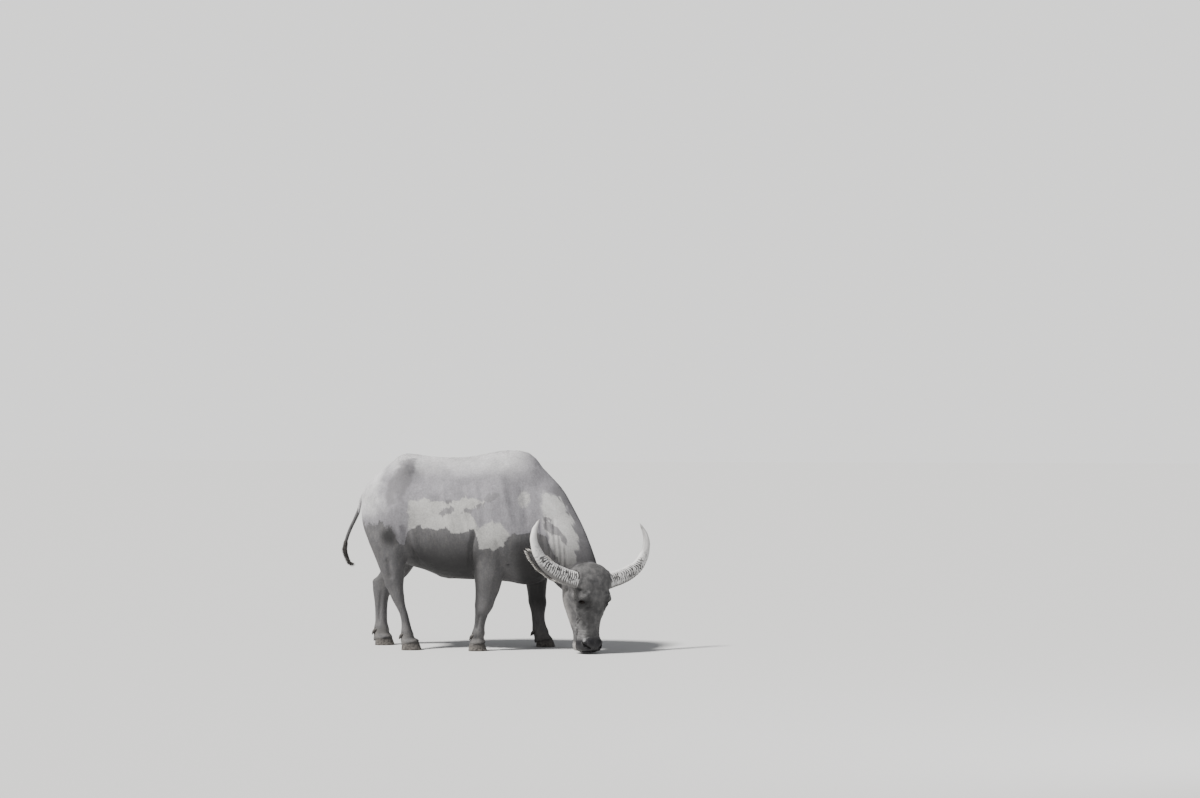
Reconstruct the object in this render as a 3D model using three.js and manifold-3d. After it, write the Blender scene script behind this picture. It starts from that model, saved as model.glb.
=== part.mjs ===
/**
 * A life-size water buffalo of the swamp type, standing and grazing: the head hangs to the
 * ground and is turned to the animal's right.
 *
 * Millimetres, +Z up, the animal faces +X and its left is +Y. All shapes are laid out in the
 * animal's own frame, with x = 0 under the top of the withers and z = 0 at the ground. The
 * group is moved at the end so that its origin is the middle of its footprint.
 */

import * as THREE from 'three';
import { LoftGeometry } from 'three/addons/geometries/LoftGeometry.js';
import { mergeVertices } from 'three/addons/utils/BufferGeometryUtils.js';
import Module from 'manifold-3d';

const wasm = await Module();
wasm.setup();

// Driving sizes

const GAP = 0.3; // between pieces that touch
const TORSO_SIDES = 32;
const NECK_SIDES = 24;
const HEAD_SIDES = 32;
const LEG_SIDES = 16;
const HORN_SIDES = 12;

const HEAD_LENGTH = 557; // poll to the end of the muzzle
const HEAD_PLACE = [623, -300, 565]; // the poll
const HEAD_TURN = -46; // degrees from straight ahead to the animal's right
const HEAD_TUCK = 0;
const HEAD_ROLL = -3.3;

const EYE_RADIUS = 21;
const EYE_PLACE = { down: 234, side: 88, out: 8 };
const LID_THICKNESS = 5;

const HORN_ROOT = { down: 86, side: 150, out: -26 };
const HORN_LEAN = 7.5; // degrees back from the plane of the face
const HORN_RIDGES = 14;
const HORN_RIDGE_DEPTH = 2.4;

const EAR_LENGTH = 350;
const EAR_ROOT = { down: 120, side: 148, out: -96 };
const EAR_LOCKS = 8; // flat locks of hair along the lower rim
const SWITCH_LOCKS = 8;

const CLAW_GAP = 5; // between the two claws of a foot
const CLAW_FRONT = 62; // height of the coronet at the toe
const CLAW_HEEL = 36; // and at the heel

// Small helpers

const radians = THREE.MathUtils.degToRad;
const point = (x, y, z) => new THREE.Vector3(x, y, z);
const signedPower = (value, power) => Math.sign(value) * Math.abs(value) ** power;

/** A smooth function through [place, value] pairs that never overshoots them. */
function profile(pairs) {
  const last = pairs.length - 1;
  const rise = [];
  for (let i = 0; i < last; i++) {
    rise.push((pairs[i + 1][1] - pairs[i][1]) / (pairs[i + 1][0] - pairs[i][0]));
  }
  const slope = pairs.map((_, i) => {
    if (i === 0) return rise[0];
    if (i === last) return rise[last - 1];
    if (rise[i - 1] * rise[i] <= 0) return 0;
    return (2 * rise[i - 1] * rise[i]) / (rise[i - 1] + rise[i]);
  });
  return (place) => {
    let i = 0;
    while (i < last - 1 && place > pairs[i + 1][0]) i++;
    const width = pairs[i + 1][0] - pairs[i][0];
    const t = THREE.MathUtils.clamp((place - pairs[i][0]) / width, 0, 1);
    const t2 = t * t;
    const t3 = t2 * t;
    return (
      (2 * t3 - 3 * t2 + 1) * pairs[i][1] +
      (t3 - 2 * t2 + t) * width * slope[i] +
      (3 * t2 - 2 * t3) * pairs[i + 1][1] +
      (t3 - t2) * width * slope[i + 1]
    );
  };
}

/** One profile for each column of a table whose first column is the place. */
function profiles(table) {
  const columns = table[0].length - 1;
  return Array.from({ length: columns }, (_, c) => profile(table.map((row) => [row[0], row[c + 1]])));
}

/** Places from first to last, closer together towards both ends. */
function stations(first, last, count, crowding = 0.6) {
  return Array.from({ length: count }, (_, i) => {
    const t = i / (count - 1);
    const eased = 0.5 - 0.5 * Math.cos(Math.PI * t);
    return first + (last - first) * THREE.MathUtils.lerp(t, eased, crowding);
  });
}

/** A closed mesh as a solid, its faces turned outwards. */
function solid(geometry) {
  const bare = geometry.index ? geometry.toNonIndexed() : geometry.clone();
  bare.deleteAttribute('normal');
  bare.deleteAttribute('uv');
  const merged = mergeVertices(bare, 1e-3);
  const corners = merged.index.array;
  const kept = [];
  for (let i = 0; i < corners.length; i += 3) {
    const [a, b, c] = [corners[i], corners[i + 1], corners[i + 2]];
    if (a !== b && b !== c && c !== a) kept.push(a, b, c);
  }
  const make = (triangles) =>
    new wasm.Manifold(
      new wasm.Mesh({
        numProp: 3,
        vertProperties: new Float32Array(merged.attributes.position.array),
        triVerts: new Uint32Array(triangles),
      })
    );
  const first = make(kept);
  if (first.volume() > 0) return first;
  const turned = [];
  for (let i = 0; i < kept.length; i += 3) turned.push(kept[i], kept[i + 2], kept[i + 1]);
  return make(turned);
}

const centreOf = (places) =>
  places.reduce((sum, place) => sum.add(place), point(0, 0, 0)).divideScalar(places.length);

/** A solid skinned over closed sections, which may wind either way round. */
function loft(sections) {
  const [first, second] = sections;
  const centre = centreOf(first);
  const winding = point(0, 0, 0);
  first.forEach((place, i) => {
    const next = first[(i + 1) % first.length];
    winding.add(place.clone().sub(centre).cross(next.clone().sub(centre)));
  });
  const forward = winding.dot(centreOf(second).sub(centre)) > 0;
  const rings = forward ? sections : sections.map((section) => [...section].reverse());
  return solid(new LoftGeometry(rings, { capStart: true, capEnd: true }));
}

const union = (solids) => wasm.Manifold.union(solids);

/** Numbers from 0 to 1 that repeat for the same seed. */
function seeded(seed) {
  let state = seed;
  return () => {
    state = (state * 1664525 + 1013904223) % 4294967296;
    return state / 4294967296;
  };
}

/** A flat lock of hair that tapers from its root to a narrow tip, with its middle bent a little. */
function lock(root, tip, width, thickness, flatSide, bend) {
  const along = tip.clone().sub(root);
  const across = along.clone().cross(flatSide).normalize();
  const face = across.clone().cross(along).normalize();
  const spans = [
    [0, 1, 0],
    [0.5, 0.8, 1],
    [1, 0.16, 0],
  ];
  return loft(
    spans.map(([t, size, bow]) => {
      const middle = root.clone().addScaledVector(along, t).addScaledVector(face, bow * bend);
      const side = across.clone().multiplyScalar((width * size) / 2);
      const up = face.clone().multiplyScalar((thickness * size) / 2);
      return [
        middle.clone().add(side).add(up),
        middle.clone().sub(side).add(up),
        middle.clone().sub(side).sub(up),
        middle.clone().add(side).sub(up),
      ];
    })
  );
}

/** The largest closed surface of a solid. */
function largest(shape) {
  const pieces = shape.decompose();
  return pieces.reduce((best, piece) => (piece.volume() > best.volume() ? piece : best));
}

/** Moves a point away from the middle of its section by the swellings around it. */
function swell(place, middle, swellings) {
  const out = place.clone().sub(middle).normalize();
  let push = 0;
  for (const { at, reach, height, both = true } of swellings) {
    const y = both ? Math.abs(place.y) : place.y;
    const far = Math.hypot(
      (place.x - at[0]) / reach[0],
      (y - at[1]) / reach[1],
      (place.z - at[2]) / reach[2]
    );
    push += height * Math.exp(-far * far);
  }
  return place.addScaledVector(out, push);
}

/** The three.js transform that carries an upright, forward-facing head to its place. */
const headTransform = new THREE.Matrix4()
  .makeTranslation(...HEAD_PLACE)
  .multiply(new THREE.Matrix4().makeRotationZ(radians(HEAD_TURN)))
  .multiply(new THREE.Matrix4().makeRotationY(radians(HEAD_TUCK)))
  .multiply(new THREE.Matrix4().makeRotationX(radians(HEAD_ROLL)));

/** A point of the head: out of the face, to its left and down from the poll. */
const onHead = (out, left, down) => point(out, left, -down).applyMatrix4(headTransform);

// Torso: place, top, bottom, half width, level of the widest girth, squareness of the back

const TORSO = [
  [-980, 975, 890, 50, 0.5, 2.0],
  [-966, 1045, 800, 125, 0.5, 2.1],
  [-938, 1092, 720, 172, 0.5, 2.2],
  [-890, 1138, 640, 212, 0.5, 2.3],
  [-800, 1210, 575, 245, 0.5, 2.4],
  [-680, 1285, 545, 272, 0.52, 2.5],
  [-550, 1268, 512, 285, 0.48, 2.3],
  [-420, 1258, 466, 302, 0.44, 2.2],
  [-300, 1260, 454, 312, 0.42, 2.1],
  [-150, 1283, 450, 306, 0.42, 1.9],
  [0, 1309, 440, 284, 0.42, 1.75],
  [110, 1303, 424, 258, 0.42, 1.7],
  [200, 1245, 440, 232, 0.44, 1.8],
  [270, 1120, 500, 195, 0.45, 2.0],
  [320, 980, 580, 130, 0.45, 2.0],
  [345, 860, 680, 50, 0.5, 2.0],
];
const [torsoTop, torsoBottom, torsoHalf, torsoBelt, torsoBack] = profiles(TORSO);

const TORSO_SWELLINGS = [
  { at: [-20, 250, 960], reach: [120, 90, 190], height: 22 }, // shoulder blade
  { at: [60, 230, 700], reach: [110, 90, 120], height: 26 }, // point of the shoulder
  { at: [-735, 225, 860], reach: [150, 110, 190], height: 22 }, // thigh
  { at: [-640, 225, 1195], reach: [60, 60, 50], height: 26 }, // hip bone
  { at: [-925, 105, 1030], reach: [50, 55, 50], height: 20 }, // pin bone
  { at: [-515, 250, 1140], reach: [110, 90, 90], height: -22 }, // hollow of the flank
  { at: [-830, 250, 1080], reach: [80, 80, 80], height: -14 }, // behind the hip
  { at: [-80, 270, 650], reach: [120, 60, 110], height: 12 }, // upper arm
  { at: [-440, 0, 450], reach: [60, 50, 40], height: 14 }, // navel
];

function torsoSection(x) {
  const top = torsoTop(x);
  const bottom = torsoBottom(x);
  const widest = bottom + (top - bottom) * torsoBelt(x);
  const middle = point(x, 0, widest);
  return Array.from({ length: TORSO_SIDES }, (_, k) => {
    const angle = (2 * Math.PI * k) / TORSO_SIDES;
    const rise = Math.sin(angle);
    const power = 2 / (rise > 0 ? torsoBack(x) : 2.2);
    const y = torsoHalf(x) * signedPower(Math.cos(angle), power);
    const reach = rise > 0 ? top - widest : widest - bottom;
    return swell(point(x, y, widest + reach * signedPower(rise, power)), middle, TORSO_SWELLINGS);
  });
}

const torsoLoft = loft(stations(TORSO[0][0], TORSO.at(-1)[0], 32, 0.5).map(torsoSection));

// Neck: a wedge from the shoulders down to the poll, bending to the animal's right

const NECK_LINE = new THREE.CatmullRomCurve3([
  point(60, 0, 985),
  point(140, -10, 915),
  point(240, -36, 825),
  point(356, -88, 698),
  point(462, -160, 545),
  point(545, -228, 440),
]);
const neckHalfDepth = profile([[0, 272], [0.2, 264], [0.38, 228], [0.62, 188], [0.84, 158], [1, 118]]);
const neckHalfWidth = profile([[0, 215], [0.2, 205], [0.38, 182], [0.62, 150], [0.84, 128], [1, 100]]);

function neckSection(t) {
  const middle = NECK_LINE.getPointAt(t);
  const along = NECK_LINE.getTangentAt(t);
  const side = point(0, 1, 0).addScaledVector(along, -along.y).normalize();
  const crest = side.clone().cross(along).negate();
  return Array.from({ length: NECK_SIDES }, (_, k) => {
    const angle = (2 * Math.PI * k) / NECK_SIDES;
    const rise = Math.sin(angle);
    const power = 2 / (rise > 0 ? 1.8 : 2.1);
    return middle
      .clone()
      .addScaledVector(crest, neckHalfDepth(t) * signedPower(rise, power))
      .addScaledVector(side, neckHalfWidth(t) * signedPower(Math.cos(angle), power));
  });
}

const neckLoft = loft(stations(0, 1, 15, 0).map(neckSection));

// Head: down from the poll, face front, throat side, half width

const HEAD = [
  [-22, -50, -85, 30],
  [-12, -25, -115, 74],
  [10, 2, -152, 112],
  [40, 20, -184, 140],
  [75, 34, -214, 156],
  [105, 42, -232, 156],
  [140, 49, -246, 144],
  [180, 55, -256, 132],
  [215, 57, -260, 124],
  [260, 54, -254, 109],
  [310, 47, -242, 93],
  [350, 41, -226, 81],
  [400, 36, -196, 72],
  [440, 35, -168, 69],
  [478, 38, -150, 75],
  [510, 41, -142, 81],
  [533, 37, -138, 81],
  [549, 22, -124, 68],
  [HEAD_LENGTH, -4, -96, 42],
];
const [faceFront, faceBack, faceHalf] = profiles(HEAD);

const HEAD_SWELLINGS = [
  { at: [5, 118, -208], reach: [44, 42, 40], height: 18 }, // brow over the eye
  { at: [20, 60, -70], reach: [50, 60, 60], height: 6 }, // between the horns
  { at: [-20, 92, -288], reach: [30, 34, 50], height: 8 }, // cheek bone
  { at: [-150, 80, -200], reach: [60, 50, 80], height: 12 }, // jaw muscle
  { at: [20, 60, -500], reach: [34, 30, 30], height: 9 }, // flare of the nostril
  { at: [-110, 0, -520], reach: [40, 60, 26], height: 8 }, // chin
  { at: [0, 66, -395], reach: [40, 40, 50], height: -6 }, // dip before the muzzle
];

function headSection(down, inset = 0) {
  const front = faceFront(down) - inset;
  const back = faceBack(down) + inset;
  const half = faceHalf(down) - inset;
  const widest = front + (back - front) * 0.4;
  const middle = point(widest, 0, -down);
  return Array.from({ length: HEAD_SIDES }, (_, k) => {
    const angle = (2 * Math.PI * k) / HEAD_SIDES;
    const rise = Math.sin(angle);
    const power = 2 / (rise > 0 ? 2.45 : 2.4);
    const reach = rise > 0 ? front - widest : widest - back;
    const out = widest + reach * signedPower(rise, power);
    const place = point(out, half * signedPower(Math.cos(angle), power), -down);
    return swell(place, middle, HEAD_SWELLINGS).applyMatrix4(headTransform);
  });
}

const headStations = stations(HEAD[0][0], HEAD_LENGTH, 28, 0.35);
const headLoft = loft(headStations.map((down) => headSection(down)));

/** A ball stretched to three half sizes in the head's frame, then turned about the face's normal. */
function headBall({ out, side, down }, half, turn = 0, rings = 10) {
  const ball = new THREE.SphereGeometry(1, rings * 2, rings);
  ball.scale(...half);
  ball.rotateX(radians(turn));
  ball.translate(out, side, -down);
  ball.applyMatrix4(headTransform);
  return solid(ball);
}

// Eyes, lids, nostrils and the line of the mouth

const SIDES = [
  ['left', 1],
  ['right', -1],
];

function eyeBall(sign, radius) {
  const { out, side, down } = EYE_PLACE;
  return headBall({ out, side: side * sign, down }, [radius, radius, radius], 0, 7);
}

/** The almond opening of the lids, cut along the eye's line of sight. */
function lidOpening(sign) {
  const { out, side, down } = EYE_PLACE;
  const slit = new THREE.SphereGeometry(1, 16, 8);
  slit.scale(60, 24, 14);
  slit.rotateX(radians(-10));
  slit.translate(40, 0, 0);
  slit.rotateZ(radians(62 * sign));
  slit.translate(out, side * sign, -down);
  slit.applyMatrix4(headTransform);
  return solid(slit);
}

/** A pit that opens forward and outward, wider at its inner end. */
const nostril = (sign) =>
  headBall({ out: 30, side: 64 * sign, down: 505 }, [20, 13, 20], 30 * sign, 6);

/** The gape between the lips: a thin sheet around the muzzle that reaches only skin deep. */
function mouthLine() {
  const line = new THREE.CatmullRomCurve3([
    point(-104, 0, -410),
    point(-88, 0, -440),
    point(-70, 0, -480),
    point(-56, 0, -520),
    point(-48, 0, -575),
  ]);
  const sheet = stations(0, 1, 8, 0).map((t) => {
    const middle = line.getPointAt(t);
    const along = line.getTangentAt(t);
    const across = point(-along.z, 0, along.x).multiplyScalar(2.6);
    const half = 110;
    return [
      middle.clone().add(across).setY(half),
      middle.clone().add(across).setY(-half),
      middle.clone().sub(across).setY(-half),
      middle.clone().sub(across).setY(half),
    ].map((corner) => corner.applyMatrix4(headTransform));
  });
  const core = stations(380, 543, 12, 0).map((down) => headSection(down, 9));
  return loft(sheet).subtract(loft(core));
}

// Legs: height, back edge, front edge, middle across, half width across

const LEGS = {
  fore_right: {
    toe: -106,
    heel: -228,
    side: -190,
    door: { back: -270, front: 70, top: 940 },
    table: [
      [30, -222, -122, -190, 44],
      [60, -222, -118, -190, 54],
      [85, -212, -124, -190, 45],
      [118, -205, -120, -190, 47],
      [150, -196, -120, -190, 38],
      [190, -190, -114, -190, 36],
      [230, -189, -98, -190, 45],
      [268, -188, -78, -190, 53],
      [320, -187, -56, -190, 50],
      [380, -186, -26, -188, 60],
      [460, -190, -4, -184, 78],
      [560, -214, 30, -178, 98],
      [640, -222, 55, -176, 112],
      [720, -215, 60, -168, 122],
      [820, -180, 40, -150, 115],
      [900, -140, 20, -130, 90],
    ],
  },
  fore_left: {
    toe: 288,
    heel: 160,
    side: 175,
    door: { back: -30, front: 330, top: 900 },
    table: [
      [30, 150, 262, 175, 44],
      [60, 146, 268, 175, 54],
      [85, 140, 250, 175, 45],
      [118, 134, 238, 175, 47],
      [150, 131, 226, 175, 38],
      [190, 127, 219, 175, 36],
      [230, 122, 222, 175, 45],
      [268, 112, 226, 175, 53],
      [320, 104, 226, 175, 50],
      [380, 96, 230, 175, 60],
      [460, 78, 240, 172, 78],
      [560, 34, 258, 168, 92],
      [640, 5, 262, 162, 104],
      [740, -10, 255, 150, 110],
      [840, 0, 225, 130, 95],
    ],
  },
  hind_right: {
    toe: -543,
    heel: -676,
    side: -185,
    door: { back: -1020, front: -520, top: 1060 },
    table: [
      [30, -676, -568, -185, 44],
      [60, -682, -572, -185, 54],
      [85, -680, -590, -185, 44],
      [118, -678, -602, -185, 46],
      [160, -678, -614, -185, 38],
      [220, -690, -628, -185, 35],
      [300, -726, -652, -185, 38],
      [360, -758, -660, -184, 44],
      [392, -768, -664, -184, 46],
      [440, -788, -662, -182, 50],
      [500, -816, -656, -178, 64],
      [614, -864, -642, -172, 94],
      [740, -918, -610, -158, 118],
      [880, -952, -570, -128, 128],
      [980, -915, -600, -85, 105],
    ],
  },
  hind_left: {
    toe: -800,
    heel: -932,
    side: 165,
    door: { back: -1020, front: -520, top: 1060 },
    table: [
      [30, -944, -826, 165, 44],
      [60, -944, -818, 165, 54],
      [85, -938, -832, 165, 44],
      [118, -938, -840, 165, 46],
      [160, -934, -848, 165, 38],
      [240, -936, -848, 165, 35],
      [320, -944, -838, 165, 40],
      [375, -952, -806, 164, 44],
      [425, -951, -752, 163, 42],
      [455, -924, -722, 162, 48],
      [485, -904, -694, 162, 58],
      [545, -900, -654, 160, 76],
      [640, -908, -622, 156, 100],
      [740, -925, -595, 150, 118],
      [880, -952, -570, 128, 128],
      [980, -915, -600, 85, 105],
    ],
  },
};

function legLoft({ table }) {
  const [backAt, frontAt, middleAt, halfAt] = profiles(table);
  const heights = stations(table[0][0], table.at(-1)[0], 20, 0).map(
    (z, i, all) => all[0] + (z - all[0]) * (0.55 + 0.45 * (i / (all.length - 1)))
  );
  return loft(
    heights.map((z) => {
      const middle = (backAt(z) + frontAt(z)) / 2;
      const half = (frontAt(z) - backAt(z)) / 2;
      return Array.from({ length: LEG_SIDES }, (_, k) => {
        const angle = (2 * Math.PI * k) / LEG_SIDES;
        const x = middle + half * signedPower(Math.cos(angle), 0.92);
        return point(x, middleAt(z) + halfAt(z) * signedPower(Math.sin(angle), 0.92), z);
      });
    })
  );
}

/** Height of the sloping joint between the horn of a foot and the skin above it. */
const coronet = (leg, x) =>
  THREE.MathUtils.mapLinear(x, leg.heel, leg.toe, CLAW_HEEL, CLAW_FRONT);

/** Everything under the coronet of a foot, raised by the gap. */
function underFoot(leg) {
  const [back, front] = [leg.heel - 120, leg.toe + 120];
  const sections = [back, front].map((x) => {
    const top = coronet(leg, x) + GAP;
    const [near, far] = [leg.side - 160, leg.side + 160];
    return [point(x, near, -60), point(x, far, -60), point(x, far, top), point(x, near, top)];
  });
  return loft(sections);
}

/** One claw: flat sole, upright inner wall, sloping toe. */
function claw(leg, sign) {
  const inner = leg.side + (CLAW_GAP / 2) * sign;
  const levels = [
    [0, 50],
    [0.12, 52],
    [0.55, 50.5],
    [1, 47],
  ];
  const sections = levels.map(([t, width]) => {
    const toe = leg.toe - 22 * t;
    const heel = leg.heel + 4 * t;
    return Array.from({ length: 12 }, (_, k) => {
      const angle = (Math.PI * k) / 11;
      const forward = signedPower(Math.cos(angle), 0.85);
      const x = (toe + heel) / 2 + ((toe - heel) / 2) * forward;
      const y = inner + sign * width * signedPower(Math.sin(angle), 0.75) * (1 - 0.16 * forward);
      return point(x, y, coronet(leg, x) * t);
    });
  });
  return loft(sections);
}

/** The small dewclaw behind the fetlock, with its root sunk in the leg. */
function dewclaw(leg, sign, grow = 0) {
  const [backAt] = profiles(leg.table);
  const back = backAt(104);
  const line = [
    [back + 26, 108, 13],
    [back + 8, 99, 14],
    [back - 5, 86, 11],
    [back - 11, 70, 5],
  ];
  return loft(
    line.map(([x, z, radius], i) =>
      Array.from({ length: 6 }, (_, k) => {
        const angle = (2 * Math.PI * k) / 6;
        const r = radius + grow;
        const end = i === 0 ? -grow : i === 3 ? grow : 0;
        const lift = r * Math.sin(angle);
        return point(x - end - lift * 0.5, leg.side + sign * 24 + r * Math.cos(angle), z + lift * 0.8);
      })
    )
  );
}

/** The arch over a leg, from inside the body outwards. */
function legDoor({ door, side }, grow) {
  const half = (door.front - door.back) / 2 + grow;
  const middle = (door.front + door.back) / 2;
  const arch = new THREE.Shape();
  const spring = door.top - half * 0.8;
  arch.moveTo(middle - half, -100);
  arch.lineTo(middle + half, -100);
  arch.lineTo(middle + half, spring);
  arch.absellipse(middle, spring, half, half * 0.8 + grow, 0, Math.PI, false);
  arch.closePath();
  const prism = new THREE.ExtrudeGeometry(arch, { depth: 500, bevelEnabled: false, curveSegments: 10 });
  prism.rotateX(Math.PI / 2);
  prism.translate(0, side < 0 ? -85 + grow : 85 - grow + 500, 0);
  return solid(prism);
}

// Tail

const TAIL_LINE = new THREE.CatmullRomCurve3([
  point(-850, 10, 1130),
  point(-955, 30, 1062),
  point(-997, 52, 985),
  point(-1017, 66, 915),
  point(-1050, 76, 846),
  point(-1090, 82, 766),
  point(-1116, 84, 688),
  point(-1120, 84, 655),
]);
const tailRadius = profile([[0, 26], [0.25, 20], [0.5, 16], [0.8, 15], [1, 14]]);

/** A round rod along a curve, closed at both ends, with radius(t). */
function rod(curve, radius, rings, sides) {
  const side = point(0, 1, 0);
  return loft(
    stations(0, 1, rings, 0).map((t) => {
      const along = curve.getTangentAt(t);
      const across = side.clone().addScaledVector(along, -along.dot(side)).normalize();
      const up = along.clone().cross(across);
      return Array.from({ length: sides }, (_, k) => {
        const angle = (2 * Math.PI * k) / sides;
        return curve
          .getPointAt(t)
          .addScaledVector(across, radius(t) * Math.cos(angle))
          .addScaledVector(up, radius(t) * Math.sin(angle));
      });
    })
  );
}

const SWITCH_LINE = new THREE.CatmullRomCurve3([
  point(-1117, 84, 684),
  point(-1121, 84, 629),
  point(-1101, 84, 570),
  point(-1074, 84, 540),
]);
const switchRadius = profile([[0, 15], [0.2, 20], [0.55, 19], [0.85, 11], [1, 3]]);

/** Locks around the switch, from inside its core down to a ragged end. */
function switchLocks() {
  const random = seeded(7);
  return Array.from({ length: SWITCH_LOCKS }, (_, k) => {
    const angle = (2 * Math.PI * (k + 0.5 * random())) / SWITCH_LOCKS;
    const out = point(Math.cos(angle), Math.sin(angle), 0);
    const start = 0.3 + 0.25 * random();
    const end = start + 0.36 + 0.08 * random();
    const root = SWITCH_LINE.getPointAt(start).addScaledVector(out, 9);
    const tip = SWITCH_LINE.getPointAt(end).addScaledVector(out, 13 + 5 * random());
    return lock(root, tip, 16, 7, out, 4);
  });
}

// Horns

const HORN_LINE = new THREE.CatmullRomCurve3(
  [
    [-22, -6],
    [0, 0],
    [60, 16],
    [118, 37],
    [166, 60],
    [214, 88],
    [254, 132],
    [286, 188],
    [301, 248],
    [294, 300],
    [276, 338],
    [251, 378],
  ].map(([lateral, up]) => point(0, lateral, up))
);
const hornWidth = profile([
  [0, 98],
  [0.17, 100],
  [0.33, 95],
  [0.48, 80],
  [0.6, 71],
  [0.74, 54],
  [0.86, 38],
  [0.95, 20],
  [1, 3],
]);
const hornThick = profile([[0, 64], [0.3, 62], [0.6, 50], [0.8, 38], [0.95, 18], [1, 3]]);

function horn(sign, grow = 0) {
  const ridged = 0.56;
  const places = [];
  for (let i = 0; i <= HORN_RIDGES * 2; i++) places.push((ridged * i) / (HORN_RIDGES * 2));
  for (let i = 1; i <= 10; i++) places.push(ridged + ((1 - ridged) * i) / 10);
  const lean = new THREE.Matrix4().makeRotationY(radians(-HORN_LEAN));
  const sections = places.map((t, i) => {
    const along = HORN_LINE.getTangentAt(t);
    const across = point(0, -along.z, along.y);
    const ridge = t < ridged && i % 2 ? HORN_RIDGE_DEPTH * Math.min(1, (ridged - t) * 6) : 0;
    const width = hornWidth(t) / 2 + ridge + 1.5 * grow;
    const thick = hornThick(t) / 2 + ridge + 1.5 * grow;
    return Array.from({ length: HORN_SIDES }, (_, k) => {
      const angle = (2 * Math.PI * k) / HORN_SIDES;
      const place = HORN_LINE.getPointAt(t)
        .addScaledVector(along, i === 0 ? -2 * grow : 0)
        .addScaledVector(across, width * Math.sin(angle))
        .add(point(thick * Math.cos(angle), 0, 0))
        .applyMatrix4(lean);
      const { out, side, down } = HORN_ROOT;
      place.set(place.x + out, (place.y + side) * sign, place.z - down);
      return place.applyMatrix4(headTransform);
    });
  });
  return loft(sections);
}

// Ears: a cupped leaf

const EARS = {
  left: { raise: 6, back: 42 },
  right: { raise: 43, back: 30 },
};

const earHalfWidth = profile([
  [0, 20],
  [0.14, 27],
  [0.35, 52],
  [0.6, 55],
  [0.82, 38],
  [0.95, 17],
  [1, 6],
]);
const earCup = profile([[0, 22], [0.3, 30], [0.6, 24], [1, 5]]);
const earThick = profile([[0, 16], [0.2, 10], [0.8, 7], [1, 4]]);

/** Carries a point of a level ear, with y along it and x out of its cup, to its place on the head. */
function onEar(place, name, sign) {
  const { raise, back } = EARS[name];
  const { out, side, down } = EAR_ROOT;
  place.applyMatrix4(new THREE.Matrix4().makeRotationY(radians(20)));
  place.applyMatrix4(new THREE.Matrix4().makeRotationZ(radians(back)));
  place.applyMatrix4(new THREE.Matrix4().makeRotationX(radians(raise)));
  place.set(place.x + out, (place.y + side) * sign, place.z - down);
  return place.applyMatrix4(headTransform);
}

function ear(name, sign) {
  const ring = 8;
  const sections = stations(0, 1, 11, 0.2).map((t) => {
    const outer = [];
    const inner = [];
    for (let k = 0; k < ring; k++) {
      const u = (k / (ring - 1)) * 2 - 1;
      const rim = 1 - 0.72 * u * u;
      const z = earHalfWidth(t) * u;
      const x = -earCup(t) * (1 - u * u);
      outer.push(point(x - earThick(t) * rim, EAR_LENGTH * t - 24, z));
      inner.unshift(point(x, EAR_LENGTH * t - 24, z));
    }
    inner.shift();
    inner.pop();
    return [...outer, ...inner].map((corner) => onEar(corner, name, sign));
  });
  return union([loft(sections), ...earLocks(name, sign)]);
}

/** Locks that hang from the lower rim of an ear and lean towards its tip. */
function earLocks(name, sign) {
  const random = seeded(name.length);
  const carry = (x, y, z) => onEar(point(x, y, z), name, sign);
  return Array.from({ length: EAR_LOCKS }, (_, k) => {
    const t = 0.34 + (0.6 * (k + 0.5 * random())) / (EAR_LOCKS - 0.5);
    const half = earHalfWidth(t);
    const y = EAR_LENGTH * t - 24;
    const root = carry(-4, y - 14, 11 - half);
    const tip = carry(3 - 6 * random(), y + 26 + 10 * random(), -half - 4 - 9 * random());
    const flat = carry(1, y, 0).sub(carry(0, y, 0));
    return lock(root, tip, 20, 5, flat, 2);
  });
}

// All flesh in one solid, then parted by thin cuts

const legNames = Object.keys(LEGS);
const legLofts = legNames.map((name) => legLoft(LEGS[name]).subtract(underFoot(LEGS[name])));
const earLofts = SIDES.map(([name, sign]) => ear(name, sign));
const tailLoft = rod(TAIL_LINE, tailRadius, 16, 12);
const lids = SIDES.map(([, sign]) => eyeBall(sign, EYE_RADIUS + LID_THICKNESS));

let flesh = union([torsoLoft, neckLoft, headLoft, ...legLofts, ...lids, tailLoft]);
flesh = flesh.subtract(
  union([
    ...SIDES.map(([, sign]) => lidOpening(sign)),
    ...SIDES.map(([, sign]) => eyeBall(sign, EYE_RADIUS + GAP)),
    ...SIDES.map(([, sign]) => nostril(sign)),
    ...SIDES.map(([, sign]) => horn(sign, GAP)),
    mouthLine(),
  ])
);

/** The two sides of a plane through a place, the gap taken half from each. */
function part(shape, place, normal) {
  const n = normal.clone().normalize();
  const at = n.dot(place);
  const before = shape.trimByPlane([n.x, n.y, n.z], at + GAP / 2);
  const behind = shape.trimByPlane([-n.x, -n.y, -n.z], -at + GAP / 2);
  return [before, behind];
}

const holds = ({ min, max }, place) =>
  place.toArray().every((value, axis) => value > min[axis] && value < max[axis]);

/** Cuts a limb off through a thin disc across its line, and gives the rest and the limb. */
function cutOff(shape, line, t, radius) {
  const disc = new THREE.CylinderGeometry(radius, radius, GAP, 24);
  const along = line.getTangentAt(t);
  const turn = new THREE.Quaternion().setFromUnitVectors(point(0, 1, 0), along);
  disc.applyQuaternion(turn);
  disc.translate(...line.getPointAt(t).toArray());
  const cut = shape.subtract(solid(disc));
  const end = line.getPointAt(0.9);
  return [largest(cut), cut.decompose().find((piece) => holds(piece.boundingBox(), end))];
}

const nodes = new Map();
const [front, rear] = part(flesh, point(160, 0, 1290), point(1, 0, 0.19));

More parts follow.
